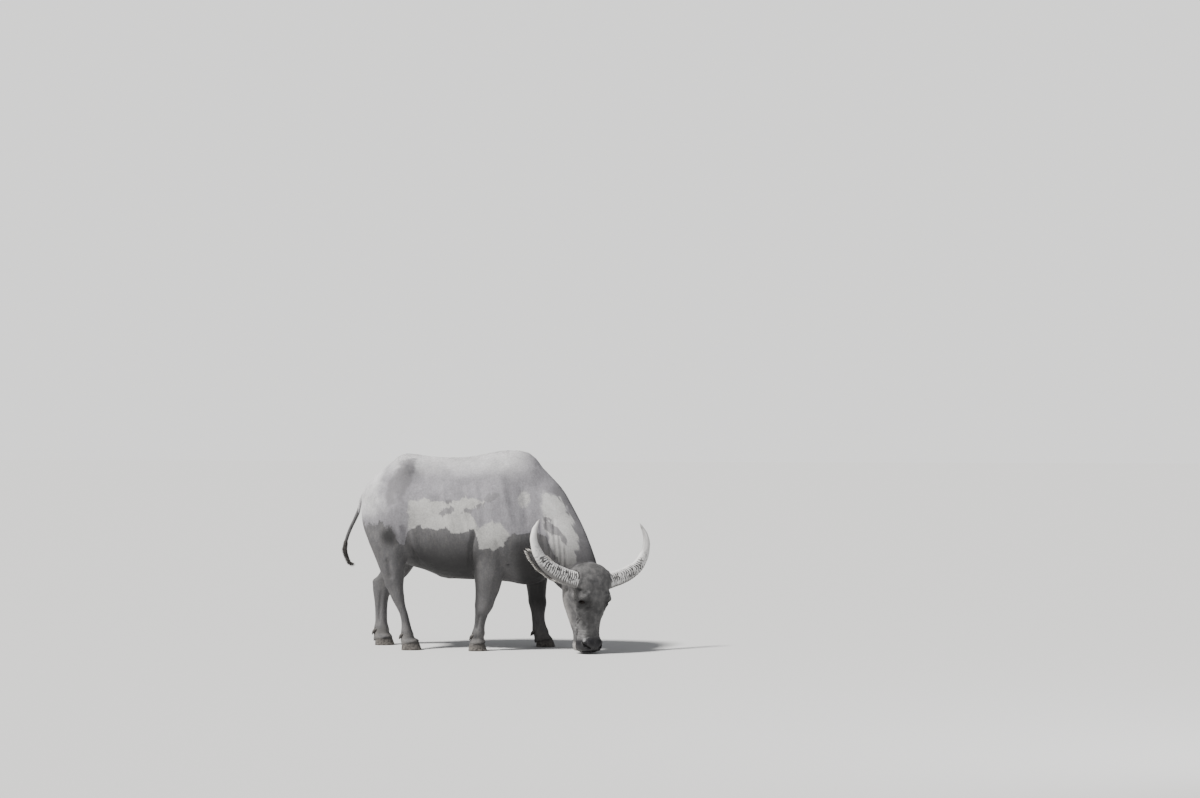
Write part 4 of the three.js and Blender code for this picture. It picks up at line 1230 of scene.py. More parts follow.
def horn_material(settings):
    """Weathered horn: pale ridges, dark streaks between them, a darker tip, and painted shade along the
    lower edge and on the inner side.
    """
    material, tree, shader = new_material("horn", Specular_IOR_Level=0.4)
    where = object_place(tree)
    along, around = attribute(tree, "along"), attribute(tree, "around")
    groove = attribute(tree, "groove")
    speck = noise(tree, where, 70, 5, 0.65)
    grain = noise(tree, where, 300, 3, 0.6)
    patches = noise(tree, where, 26, 4, 0.6, 0.5)
    pale = mix(tree, grain, tuple(settings.pale), (0.66, 0.65, 0.64))
    dark = tuple(settings.dark)
    ragged = plus(tree, groove, swing(tree, speck, 0.9))
    fill = times(tree, rise(tree, ragged, 0.26, 0.42), rise(tree, patches, 0.38, 0.50))
    edge = maths(tree, "ABSOLUTE", maths(tree, "SUBTRACT", around, 0.5))
    fill = times(tree, fill, rise(tree, edge, 0.47, 0.36))
    fill = times(tree, fill, rise(tree, along, 0.66, 0.54))
    colour = mix(tree, times(tree, fill, 0.95), pale, dark)
    blotch = rise(tree, noise(tree, where, 38, 5, 0.7, 0.8), 0.525, 0.56)
    blotch = times(tree, blotch, rise(tree, along, 0.76, 0.55))
    blotch = times(tree, blotch, rise(tree, edge, 0.34, 0.26))
    colour = mix(tree, times(tree, blotch, 0.85), colour, dark)
    stain = times(tree, rise(tree, patches, 0.55, 0.68), rise(tree, along, 1.0, 0.6))
    colour = mix(tree, times(tree, stain, 0.45), colour, (0.22, 0.215, 0.21))
    # painted shade along the lower edge of the horn
    under = times(tree, rise(tree, around, 0.78, 0.95), rise(tree, along, 0.62, 0.45))
    colour = mix(tree, times(tree, under, 0.85), colour, (0.055, 0.052, 0.050))
    # painted shade on the inner side of the horn's upper part
    inner = times(tree, rise(tree, around, 0.42, 0.12), rise(tree, along, 0.58, 0.72))
    colour = mix(tree, times(tree, inner, 0.55), colour, (0.20, 0.195, 0.19))
    tip = rise(tree, along, 0.90, 1.0)
    colour = mix(tree, times(tree, tip, 0.55), colour, (0.17, 0.16, 0.15))
    tree.links.new(colour, shader.inputs["Base Color"])
    rough = rise(tree, speck, 0.3, 0.7, 0.48, 0.72)
    tree.links.new(rough, shader.inputs["Roughness"])
    height = plus(tree, times(tree, grain, 0.3), times(tree, speck, 0.5))
    height = maths(tree, "SUBTRACT", height, times(tree, fill, 0.5))
    bump(tree, shader, height, 0.0025, 0.8)
    return material


def hoof_material():
    """Dull claw horn with growth rings and dust."""
    material, tree, shader = new_material("hoof", Specular_IOR_Level=0.35)
    where = object_place(tree)
    height_axis = add(tree, "ShaderNodeSeparateXYZ", Vector=where).outputs["Z"]
    speck = noise(tree, where, 85, 4, 0.6)
    rings = noise(tree, stretched(tree, where, (14, 14, 260)), 1.0, 3, 0.5)
    upright = noise(tree, stretched(tree, where, (300, 300, 16)), 1.0, 3, 0.5)
    horn = mix(tree, rings, (0.022, 0.020, 0.019), (0.060, 0.055, 0.051))
    dust = rise(tree, height_axis, 0.060, 0.0, 0.15, 0.85)
    dust = times(tree, dust, rise(tree, speck, 0.35, 0.62))
    colour = mix(tree, dust, horn, (0.150, 0.138, 0.124))
    tree.links.new(colour, shader.inputs["Base Color"])
    tree.links.new(rise(tree, speck, 0.3, 0.7, 0.5, 0.85), shader.inputs["Roughness"])
    height = plus(tree, times(tree, rings, 0.7), times(tree, upright, 0.35))
    bump(tree, shader, height, 0.002, 0.8)
    return material


def eye_material():
    """A dark brown eye with a wide level pupil, under a wet surface."""
    material, tree, shader = new_material(
        "eye", Roughness=0.35, Specular_IOR_Level=0.08, Coat_Weight=0.14, Coat_Roughness=0.02
    )
    ring = attribute(tree, "pupil")
    where = object_place(tree)
    fibres = noise(tree, where, 900, 2, 0.6)
    iris = mix(tree, fibres, (0.006, 0.0035, 0.0024), (0.015, 0.008, 0.0045))
    colour = mix(tree, rise(tree, ring, 0.9, 1.15), (0.002, 0.002, 0.003), iris)
    colour = mix(tree, rise(tree, ring, 2.3, 2.7), colour, (0.020, 0.014, 0.012))
    tree.links.new(colour, shader.inputs["Base Color"])
    return material


# Claws


def coronet(x, heel, toe):
    """Height of the line where a claw meets the skin."""
    return np.interp(x, [heel, toe], [0.036, 0.062])


def add_claw(bm, box, middle):
    """One claw: a rounded wall with growth rings, a level sole, and a top that ends in the foot."""
    low, high = box
    heel, toe = low[0], high[0]
    sign = 1 if low[1] + high[1] > 2 * middle else -1
    inner = low[1] if sign > 0 else high[1]
    levels = [(0, 0.004, 0.0003), (0, 0.0012, 0.0009), (0.04, 0.0004, 0)]
    for t in np.linspace(0.08, 0.98, 26):
        levels.append((t, 0.0004 + 0.0005 * math.sin(t * 55) ** 2 * (1 - t), 0))
    levels += [(1.0, 0.0015, 0.001), (1.0, 0.008, 0.006), (1.0, 0.018, 0.009)]
    rings = []
    for t, inset, lift in levels:
        width = np.interp(t, [0, 0.12, 0.55, 1], [0.050, 0.052, 0.0505, 0.047]) - 2 * inset
        ahead, behind = toe - 0.022 * t - inset, heel + 0.004 * t + inset
        ring = []
        for angle in np.linspace(0, math.pi, 31):
            c, s = math.cos(angle), math.sin(angle)
            forward = math.copysign(abs(c) ** 0.85, c)
            x = (ahead + behind) / 2 + (ahead - behind) / 2 * forward
            out = inset + width * abs(s) ** 0.75 * (1 - 0.16 * forward)
            z = float(coronet(x, heel, toe)) * t + lift
            ring.append((x, inner + sign * out, z))
        start, end = np.array(ring[-1]), np.array(ring[0])
        ring += [tuple(start + (end - start) * k / 8) for k in range(1, 8)]
        rings.append(ring)
    tube(bm, rings)


# Horns


HORN_PATH = [
    (-0.050, -0.016),
    (0.0, 0.0),
    (0.060, 0.016),
    (0.118, 0.037),
    (0.166, 0.060),
    (0.214, 0.088),
    (0.254, 0.132),
    (0.286, 0.188),
    (0.301, 0.248),
    (0.294, 0.300),
    (0.276, 0.338),
    (0.251, 0.378),
]
HORN_WIDTH = (
    (0, 0.098), (0.17, 0.100), (0.33, 0.095), (0.48, 0.080), (0.6, 0.071),
    (0.74, 0.054), (0.86, 0.038), (0.95, 0.020), (1, 0.003),
)
HORN_THICK = ((0, 0.064), (0.3, 0.062), (0.6, 0.050), (0.8, 0.038), (0.95, 0.018), (1, 0.003))
HORN_ROOT = (-0.026, 0.150, 0.086)
HORN_LEAN = 7.5
HORN_RINGS = 23


def build_horn(name, sign, seed, material):
    """One horn with its growth ridges, and attributes for the colours along and round it."""
    path = dense([(0, a, b) for a, b in HORN_PATH], 480)
    steps = np.linalg.norm(np.diff(path, axis=0), axis=1)
    place_of = np.concatenate([[0], np.cumsum(steps)]) / steps.sum()
    lean = np.array(Matrix.Rotation(math.radians(-HORN_LEAN), 3, "Y"))
    rng = np.random.default_rng(seed)
    widths = rng.uniform(0.75, 1.3, HORN_RINGS)
    ring_ends = np.cumsum(widths) / widths.sum() * 0.66
    heights = rng.uniform(0.5, 1.15, HORN_RINGS)
    sides, count = 40, 230
    rings, along, around, groove = [], [], [], []
    for t in np.linspace(0, 1, count):
        middle = np.array([np.interp(t, place_of, path[:, k]) for k in range(3)])
        ahead = np.array([np.interp(min(t + 0.01, 1), place_of, path[:, k]) for k in range(3)])
        behind = np.array([np.interp(max(t - 0.01, 0), place_of, path[:, k]) for k in range(3)])
        direction = (ahead - behind) / np.linalg.norm(ahead - behind)
        across = np.array([0, -direction[2], direction[1]])
        angles = np.linspace(0, 2 * np.pi, sides, endpoint=False)
        wave = 0.006 * np.sin(angles * 3 + seed) + 0.004 * np.sin(angles * 5 + t * 9)
        local = t + wave
        index = np.clip(np.searchsorted(ring_ends, local), 0, HORN_RINGS - 1)
        starts = np.concatenate([[0], ring_ends[:-1]])
        phase = np.clip((local - starts[index]) / (ring_ends[index] - starts[index]), 0, 1)
        profile = np.sin(np.pi * phase) ** 0.8
        fade = float(smooth(0.66, 0.50, t))
        front = 0.55 + 0.45 * np.cos(angles)
        ridge = 0.0046 * fade * heights[index] * (profile - 0.55) * (0.55 + 0.45 * front)
        keel = 0.0025 * np.exp(-(((np.sin(angles) + 0.9) / 0.25) ** 2))
        width = curve_through(HORN_WIDTH, t) / 2 - 0.0002
        thick = curve_through(HORN_THICK, t) / 2 - 0.0002
        flare = 0.0025 * float(smooth(0.15, 0.07, t))
        width, thick = width + flare, thick + flare
        push = ridge + keel * (1 - t) - 0.0004
        place = (
            middle
            + np.outer((width + push) * np.sin(angles), across)
            + np.outer((thick + push) * np.cos(angles), [1, 0, 0])
        ) @ lean.T
        out, side, down = HORN_ROOT
        rings.append(on_head(place[:, 0] + out, (place[:, 1] + side) * sign, down - place[:, 2]))
        along += [t] * sides
        around += list(0.5 - 0.5 * np.sin(angles))
        groove += list(fade * (1 - profile))
    bm = bmesh.new()
    tube(bm, rings)
    horn = object_from_bmesh(name, bm, material)
    store_values(horn.data, {"along": along, "around": around, "groove": groove})
    return horn


# Coat


def unwrap(places):
    """Places of the hide on a flat sheet, from 0 to 1: each part has a cell, cut round its axis."""
    body = places - ORIGIN
    head = from_head(places)
    x, y, z = body.T
    cell = np.zeros(len(places), int)
    across = np.arctan2(y, z - 0.85) / (2 * np.pi) + 0.5
    along = (x + 1.05) / 1.5
    on_neck = x > 0.2
    cell[on_neck] = 1
    across = np.where(on_neck, np.arctan2(y + 0.12, x - 0.3) / (2 * np.pi) + 0.5, across)
    along = np.where(on_neck, (z - 0.2) / 1.15, along)
    face = (head[:, 0] + 0.8 * head[:, 2] > -0.08) & (head[:, 2] > -0.05)
    cell[face] = 2
    across = np.where(face, np.arctan2(head[:, 1], head[:, 0] + 0.09) / (2 * np.pi) + 0.5, across)
    along = np.where(face, (head[:, 2] + 0.05) / 0.65, along)
    low = (z < 0.5) & ~face
    for i, leg in enumerate(LEG_FORMS.values()):
        middle = sum(leg["foot"]) / 2
        mine = low & (np.sign(y) == np.sign(leg["y"])) & (np.abs(x - middle) < 0.24)
        cell[mine] = 3 + i
        across = np.where(mine, np.arctan2(y - leg["y"], x - middle) / (2 * np.pi) + 0.5, across)
        along = np.where(mine, z / 0.55, along)
    behind = x < -1.0
    cell[behind] = 7
    across = np.where(behind, np.arctan2(y - 0.08, x + 1.07) / (2 * np.pi) + 0.5, across)
    along = np.where(behind, z / 1.1, along)
    column, row = cell % 4, cell // 4
    u = (column + 0.02 + 0.94 * np.clip(across, 0, 1)) / 4
    v = (row + 0.02 + 0.94 * np.clip(along, 0, 1)) / 2
    return np.stack([u, v], 1)


def build_tufts(name, places, lie, length, width, stand, bend, material, seed, spans=1):
    """Closed tapered tufts: a three-sided root sunk in the skin, and one or more spans to a tip.

    Places are the roots and the skin's normals there. Stand is how far the tufts rise from the
    skin and bend how much of that they lose towards the tip. Length and width may be one number.
    """
    roots, normals = places
    rng = np.random.default_rng(seed)
    count = len(roots)
    lie = lie - normals * (lie * normals).sum(1, keepdims=True)
    lie /= np.maximum(np.linalg.norm(lie, axis=1, keepdims=True), 1e-9)
    across = np.cross(normals, lie)
    turn = rng.normal(0, 0.22, (count, 1))
    lie = lie * np.cos(turn) + across * np.sin(turn)
    across = np.cross(normals, lie)
    length = (length * rng.uniform(0.65, 1.25, count))[:, None]
    width = (width * rng.uniform(0.8, 1.2, count))[:, None]
    root = roots - normals * 0.0025
    rows = []
    for step in range(spans):
        t = step / spans
        taper = (1 - 0.75 * t) * width
        middle = root + lie * length * t + normals * length * stand * (t - bend * t * t)
        half = across * taper * 0.5
        rows += [middle + half, middle - half, middle + normals * taper * 0.45]
    tip = root + lie * length + normals * length * stand * (1 - bend)
    places = np.stack(rows + [tip], 1)
    per = 3 * spans + 1
    faces = [(2, 1, 0)]
    for step in range(spans - 1):
        a = 3 * step
        for k in range(3):
            b, c = a + k, a + (k + 1) % 3
            faces += [(b, c, c + 3), (b, c + 3, b + 3)]
    last = 3 * (spans - 1)
    faces += [(last + k, last + (k + 1) % 3, per - 1) for k in range(3)]
    faces = np.array(faces)
    index = (np.arange(count) * per)[:, None, None] + faces[None]
    index = index.reshape(-1, 3)
    mesh = bpy.data.meshes.new(name)
    mesh.vertices.add(count * per)
    mesh.vertices.foreach_set("co", places.reshape(-1).astype(np.float32))
    mesh.loops.add(len(index) * 3)
    mesh.loops.foreach_set("vertex_index", index.ravel().astype(np.int32))
    mesh.polygons.add(len(index))
    mesh.polygons.foreach_set("loop_start", np.arange(0, len(index) * 3, 3, dtype=np.int32))
    mesh.update(calc_edges=True)
    patch = np.array([(math.cos(k * 2.1), math.sin(k * 2.1)) for k in range(per)]) * 0.0013
    uv = (unwrap(roots)[:, None, :] + patch[None]).reshape(-1, 2)
    layer = mesh.uv_layers.new(name="OFBake")
    layer.data.foreach_set("uv", uv[index.ravel()].ravel().astype(np.float32))
    store_values(mesh, {key: np.repeat(value, per) for key, value in markings(roots).items()})
    obj = new_object(name, mesh, material)
    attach(obj, "root")
    return obj


def scatter(mesh, count, density, seed):
    """Random places on a mesh, with normals, where density says how close they grow."""
    mesh.calc_loop_triangles()
    corners = np.empty(len(mesh.loop_triangles) * 3, np.int32)
    mesh.loop_triangles.foreach_get("vertices", corners)
    corners = corners.reshape(-1, 3)
    places, normals = mesh_arrays(mesh)
    a, b, c = (places[corners[:, k]] for k in range(3))
    area = np.linalg.norm(np.cross(b - a, c - a), axis=1)
    centre = (a + b + c) / 3
    mean = normals[corners].mean(1)
    chance = area * density(centre, mean)
    rng = np.random.default_rng(seed)
    pick = rng.choice(len(chance), count, p=chance / chance.sum())
    r, s = rng.random((2, count, 1))
    flip = r + s > 1
    r, s = np.where(flip, 1 - r, r), np.where(flip, 1 - s, s)
    spots = a[pick] + (b[pick] - a[pick]) * r + (c[pick] - a[pick]) * s
    out = mean[pick] / np.maximum(np.linalg.norm(mean[pick], axis=1, keepdims=True), 1e-9)
    return spots, out


def lie_of_coat(places):
    """The direction in which the hair lies: back and down the body, down the legs and the face."""
    body = places - ORIGIN
    head = from_head(places)
    lie = np.tile(np.array([-1.0, 0, -0.45]), (len(places), 1))
    leg = legs_of(places)[:, None]
    lie = lie * (1 - leg) + np.array([-0.15, 0, -1.0]) * leg
    neck = smooth(0.15, 0.35, body[:, 0])[:, None]
    lie = lie * (1 - neck) + np.array([-0.75, 0.1, 0.25]) * neck
    face = smooth(-0.12, -0.04, head[:, 0] + 0.8 * head[:, 2]) * smooth(-0.05, 0.0, head[:, 2])
    face = face[:, None]
    down = smooth(0.10, 0.20, head[:, 2])[:, None] * 2 - 1
    on_face = (HEAD_AXES @ np.array([0, 0, -1.0])) * down
    return lie * (1 - face) + on_face * face


# Sizes and colours that a user may change


class BuffaloSkin(bpy.types.PropertyGroup):
    voxel: FloatProperty(
        name="Voxel", description="Grain of the remeshed hide", default=0.005, min=0.003, unit="LENGTH"
    )
    skin_triangles: IntProperty(
        name="Triangles", description="Triangles of the hide before its face is refined", default=99000
    )
    coat_depth: FloatProperty(
        name="Coat depth",
        description="How far the hide lies inside the solids",
        default=0.0022,
        unit="LENGTH",
    )


class BuffaloHorn(bpy.types.PropertyGroup):
    pale: FloatVectorProperty(
        name="Ridges",
        description="Colour of the weathered ridges",
        subtype="COLOR",
        default=(0.50, 0.49, 0.48),
    )
    dark: FloatVectorProperty(
        name="Grooves",
        description="Colour between the ridges",
        subtype="COLOR",
        default=(0.020, 0.019, 0.019),
    )


class BuffaloCoat(bpy.types.PropertyGroup):
    tufts: IntProperty(name="Tufts", description="Short tufts over the body", default=48000, min=100)
    length: FloatProperty(
        name="Length", description="Length of the short hair", default=0.016, min=0.002, unit="LENGTH"
    )


class BuffaloSettings(bpy.types.PropertyGroup):
    skin: PointerProperty(type=BuffaloSkin)
    horn: PointerProperty(type=BuffaloHorn)
    coat: PointerProperty(type=BuffaloCoat)


# Operators


class BUFFALO_OT_skin(bpy.types.Operator):
    """Makes the hide with its lids and ears"""

    bl_idname = "buffalo.skin"
    bl_label = "Skin"

    def execute(self, context):
        settings = context.scene.buffalo.skin
        mesh = sculpted_skin(settings)
        bm = bmesh.new()
        bm.from_mesh(mesh)
        tree = BVHTree.FromBMesh(bm)
        extra = bmesh.new()
        add_ears(extra)
        bmesh.ops.recalc_face_normals(extra, faces=extra.faces)
        lids = bmesh.new()
        add_lids(lids, tree)
        turn_outward(lids)
        for part in (extra, lids):
            work = bpy.data.meshes.new("work")
            part.to_mesh(work)
            part.free()
            bm.from_mesh(work)
            bpy.data.meshes.remove(work)
        bm.to_mesh(mesh)
        bm.free()
        skin = new_object("skin", mesh, skin_material())
        places, _ = mesh_arrays(mesh)
        store_values(mesh, with_ears(markings(places), places))
        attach(skin, "root")
        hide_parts(*FLESH, "ear_left", "ear_right")
        return {"FINISHED"}


def turn_outward(bm):
    """Turns the open sheets round the eyes so that they face away from the head."""
    bm.normal_update()
    centre = Vector(on_head(-0.08, 0, EYE["down"]))
    wrong = [f for f in bm.faces if f.normal.dot(f.calc_center_median() - centre) < 0]
    if len(wrong) * 2 > len(bm.faces):
        bmesh.ops.reverse_faces(bm, faces=bm.faces)


def ear_distance(places):
    """How far each place is from the nearer ear's middle line, and how far along the ear it is."""
    best = np.full(len(places), 1e9)
    t = np.zeros(len(places))
    for name, sign in SIDES:
        line = [on_ear(name, sign, -0.02, EAR_LENGTH * s - 0.024, 0.0) for s in (0.1, 0.4, 0.7, 1.0)]
        gap, along = distance_to_path(places, line)
        closer = gap < best
        best[closer], t[closer] = gap[closer], along[closer]
    return best, t


def with_ears(fields, places):
    """The markings, with the ears clear of mud and palest at their rims."""
    gap, t = ear_distance(places)
    on = smooth(0.062, 0.058, gap) * smooth(0.0, 0.12, t)
    rim = smooth(0.02, 0.05, gap) * 0.35 + 0.45
    cleared = {name: fields[name] * (1 - on) for name in ("film", "crust", "chalk_and_highlight", "bare")}
    return fields | cleared | {"pale": np.maximum(fields["pale"] * (1 - on), on * rim)}


class BUFFALO_OT_eyes(bpy.types.Operator):
    """Makes the eyeballs"""

    bl_idname = "buffalo.eyes"
    bl_label = "Eyes"

    def execute(self, context):
        material = eye_material()
        for name, sign in SIDES:
            centre, sight, forward, up = eye_axes(sign)
            bm = bmesh.new()
            radius = EYE["radius"] - 0.0003
            bmesh.ops.create_uvsphere(bm, u_segments=48, v_segments=32, radius=radius)
            turn = Matrix((forward, up, sight)).transposed()
            bulge = EYE["radius"] * 0.6
            for vert in bm.verts:
                if vert.co.z > bulge:
                    vert.co.z += 0.0012 * float(smooth(bulge, EYE["radius"], vert.co.z))
            wide, high = PUPIL
            ring = [math.hypot(v.co.x / wide, v.co.y / high) if v.co.z > 0 else 9 for v in bm.verts]
            place = Matrix.Translation(centre) @ turn.to_4x4()
            bmesh.ops.transform(bm, matrix=place, verts=bm.verts)
            eye = object_from_bmesh(f"eyeball_{name}", bm, material)
            store_values(eye.data, {"pupil": ring})
            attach(eye, "root")
            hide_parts(f"eye_{name}")
        return {"FINISHED"}


class BUFFALO_OT_horns(bpy.types.Operator):
    """Makes the ringed horns"""

    bl_idname = "buffalo.horns"
    bl_label = "Horns"

    def execute(self, context):
        material = horn_material(context.scene.buffalo.horn)
        for i, (name, sign) in enumerate(SIDES):
            horn = build_horn(f"ringed_horn_{name}", sign, 11 + i, material)
            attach(horn, "root")
            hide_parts(f"horn_{name}")
        return {"FINISHED"}


class BUFFALO_OT_claws(bpy.types.Operator):
    """Makes the claws with their growth rings, and the dewclaws"""

    bl_idname = "buffalo.claws"
    bl_label = "Claws"

    def execute(self, context):
        material = hoof_material()
        bm = bmesh.new()
        names = []
        for leg in LEGS:
            for side in ("outer", "inner"):
                name = f"claw_{leg}_{side}"
                names.append(name)
                add_claw(bm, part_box(name), LEG_FORMS[leg]["y"] + ORIGIN[1])
        claws = object_from_bmesh("claws", bm, material)
        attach(claws, "root")
        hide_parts(*names)
        names = [f"dew{name}" for name in names]
        bm = merged_copy(names)
        mesh = bpy.data.meshes.new("small_claws")
        bm.to_mesh(mesh)
        bm.free()
        mesh = modified(mesh, "REMESH", mode="VOXEL", voxel_size=0.0016, adaptivity=0)
        relax(mesh, np.full(len(mesh.vertices), 14.0))
        dewclaws = new_object("small_claws", mesh, material)
        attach(dewclaws, "root")
        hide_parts(*names)
        return {"FINISHED"}


# The middle line of the tail's brush, and its radii from the top at 0 to the end at 1
SWITCH_LINE = (
    (-1.108, 0.084, 0.722),
    (-1.116, 0.084, 0.684),
    (-1.120, 0.084, 0.634),
    (-1.101, 0.084, 0.572),
    (-1.080, 0.084, 0.550),
)
SWITCH_RADII = ((0, 0.15, 0.4, 0.75, 1), (0.008, 0.0120, 0.0145, 0.010, 0.002))


def fewer(count):
    return count // 1


class BUFFALO_OT_coat(bpy.types.Operator):
    """Makes the short coat, the crest, the brush of the ears and the tail's switch"""

    bl_idname = "buffalo.coat"
    bl_label = "Coat"

    def execute(self, context):
        settings = context.scene.buffalo.coat
        skin = bpy.data.objects["skin"].data
        material = coat_material()
        self.short_coat(skin, material, settings)
        self.coronets(skin, material)
        self.collars(skin, material)
        self.long_coat(skin, material)
        self.ears()
        self.switch()
        return {"FINISHED"}

    def short_coat(self, skin, material, settings):
        """Flat hair over the whole body, shorter on the face and the legs."""

        def where(places, normals):
            head = from_head(places)
            wet = smooth(0.42, 0.46, head[:, 2]) * (head[:, 0] > -0.3)
            gap, _ = ear_distance(places)
            clear = smooth(0.03, 0.05, np.linalg.norm(mirrored(head) - EYE_PLACE, axis=1))
            return (1 - wet) * smooth(0.055, 0.07, gap) * clear + 1e-6

        count = fewer(settings.tufts)
        for part in range(2):
            spots = scatter(skin, count, where, 1 + part)
            roots = spots[0]
            length = settings.length * (1 - 0.5 * head_area(roots)) * (1 - 0.35 * legs_of(roots))
            name = f"short_coat_{part + 1}"
            lie = lie_of_coat(roots)
            coat = build_tufts(name, spots, lie, length, 0.0009, 0.13, 0.6, material, 3 + part)

    def coronets(self, skin, material):
        """Hair that hangs over the tops of the claws."""

        def where(places, normals):
            amount = np.zeros(len(places))
            for near, above in above_claws(places):
                amount += near * np.exp(-(((above - 0.007) / 0.009) ** 2)) * (normals[:, 2] > -0.5)
            return amount + 1e-9

        spots = scatter(skin, fewer(5200), where, 31)
        lie = np.tile(np.array([0.15, 0, -1.0]), (len(spots[0]), 1))
        coat = build_tufts("coronet_hair", spots, lie, 0.015, 0.0011, 0.22, 0.6, material, 32, 2)

    def collars(self, skin, material):
        """Hair that lies over the bases of the horns."""

        def where(places, normals):
            head = from_head(places)
            near = np.exp(-(((horn_seat(head) - 1.15) / 0.13) ** 2))
            return near * smooth(0.070, 0.090, np.abs(head[:, 1])) * (head[:, 0] > -0.09) + 1e-9

        spots = scatter(skin, fewer(3000), where, 41)
        out, side, down = from_head(spots[0]).T
        none = np.zeros(len(out))
        inward = np.stack([-(out + 0.026), none, down - 0.090], 1)
        outward = np.stack([none, np.sign(side), none], 1)
        lie = (outward + 12 * inward) @ HEAD_AXES.T
        hair = build_tufts("collar_hair", spots, lie, 0.013, 0.0009, 0.3, 0.5, material, 42, 2)

    def long_coat(self, skin, material):
        """Longer hair along the crest, the back, the belly, the poll, the chin and the fetlocks."""

        def where(places, normals):
            _, y, z = (places - ORIGIN).T
            out, side, down = from_head(places).T
            crest = smooth(0.5, 0.8, normals[:, 2] + 0.6 * normals[:, 0]) * smooth(0.9, 1.05, z)
            ridge = smooth(0.16, 0.06, np.abs(y + 0.12)) * smooth(0.3, 0.6, normals[:, 0])
            crest = np.maximum(crest, ridge * smooth(0.5, 0.6, z))
            belly = smooth(-0.6, -0.9, normals[:, 2]) * smooth(0.4, 0.43, z) * smooth(0.6, 0.55, z)
            back = smooth(0.6, 0.9, normals[:, 2]) * smooth(1.05, 1.15, z)
            fetlock = smooth(0.15, 0.11, z) * smooth(0.05, 0.08, z) * smooth(0.0, -0.5, normals[:, 0])
            chin = smooth(0.40, 0.46, down) * smooth(-0.06, -0.09, out)
            poll = smooth(0.07, 0.0, down) * smooth(-0.06, 0.0, down + 0.04) * (np.abs(side) < 0.13)
            on_head = (down > -0.05) & (head_area(places) > 0.3)
            off_head = crest + belly * 0.25 + back * 0.5 + fetlock
            return np.where(on_head, np.maximum(chin * 2, poll * 1.5), off_head) + 1e-7

        spots = scatter(skin, fewer(16000), where, 5)
        roots = spots[0]
        length = 0.027 * (1 - 0.25 * head_area(roots))
        lie = lie_of_coat(roots)
        coat = build_tufts("long_coat", spots, lie, length, 0.0009, 0.2, 0.5, material, 6, 2)

    def ears(self):
        """A brush on the rims of the ears, and hair that fans out of their cups."""
        material = hair_material("ear hair", (0.34, 0.32, 0.30), (0.62, 0.60, 0.57))
        roots, normals, lie = [], [], []
        rng = np.random.default_rng(9)
        for name, sign in SIDES:
            root = on_ear(name, sign, 0, 0, 0)
            out, along, up = (on_ear(name, sign, *axis) - root for axis in np.eye(3))
            for _ in range(fewer(2600)):
                t = rng.uniform(0.16, 1.0) ** 0.85
                rim = rng.choice([-1, 1])
                u = rim * rng.uniform(0.82, 1.0)
                roots.append(ear_surface(name, sign, t, u, rng.random() < 0.5))
                normals.append(up * rim + out * rng.uniform(-0.5, 0.5))
                lie.append(along + 0.12 * up * rim)
            for _ in range(fewer(900)):
                t = rng.uniform(0.15, 0.8)
                u = rng.uniform(-0.8, 0.8)
                roots.append(ear_surface(name, sign, t, u, True))
                normals.append(out + 0.001 * up)
                lie.append(along * 0.9 + up * u)
        roots, normals, lie = (np.array(v) for v in (roots, normals, lie))
        normals /= np.linalg.norm(normals, axis=1, keepdims=True)
        spots = (roots, normals)
        hair = build_tufts("ear_hair", spots, lie, 0.027, 0.0010, 0.42, 0.45, material, 10, 2)

    def switch(self):
        """The brush at the end of the tail: many long bent locks round a thin core."""
        material = hair_material("switch hair", (0.018, 0.017, 0.017), (0.085, 0.078, 0.072))
        line = dense(SWITCH_LINE, 50) + ORIGIN
        radii = np.interp(np.linspace(0, 1, len(line)), *SWITCH_RADII)
        side = np.array([0, 1.0, 0])

        def direction(i):
            ahead = line[min(i + 1, len(line) - 1)] - line[max(i - 1, 0)]
            ahead /= np.linalg.norm(ahead)
            return ahead, np.cross(ahead, side)

        bm = bmesh.new()
        rings = []
        angles = np.linspace(0, 2 * np.pi, 12, endpoint=False)
        for i, place in enumerate(line):
            _, up = direction(i)
            ring = np.outer(np.cos(angles), side) + np.outer(np.sin(angles), up)
            rings.append(place + radii[i] * ring)
        tube(bm, rings)
        core = object_from_bmesh("switch_core", bm, material)
        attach(core, "root")
        rng = np.random.default_rng(21)
        roots, normals, lie = [], [], []
        for _ in range(fewer(900)):
            i = int(rng.uniform(0.04, 0.93) * (len(line) - 1))
            ahead, up = direction(i)
            angle = rng.uniform(0, 2 * np.pi)
            normal = side * math.cos(angle) + up * math.sin(angle)
            roots.append(line[i] + normal * radii[i] * 0.95)
            normals.append(normal)
            lie.append(ahead)
        roots, normals, lie = (np.array(v) for v in (roots, normals, lie))
        spots = (roots, normals)
        hair = build_tufts("switch_hair", spots, lie, 0.040, 0.0023, 0.25, 0.75, material, 22, 3)
        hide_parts("tail_switch")


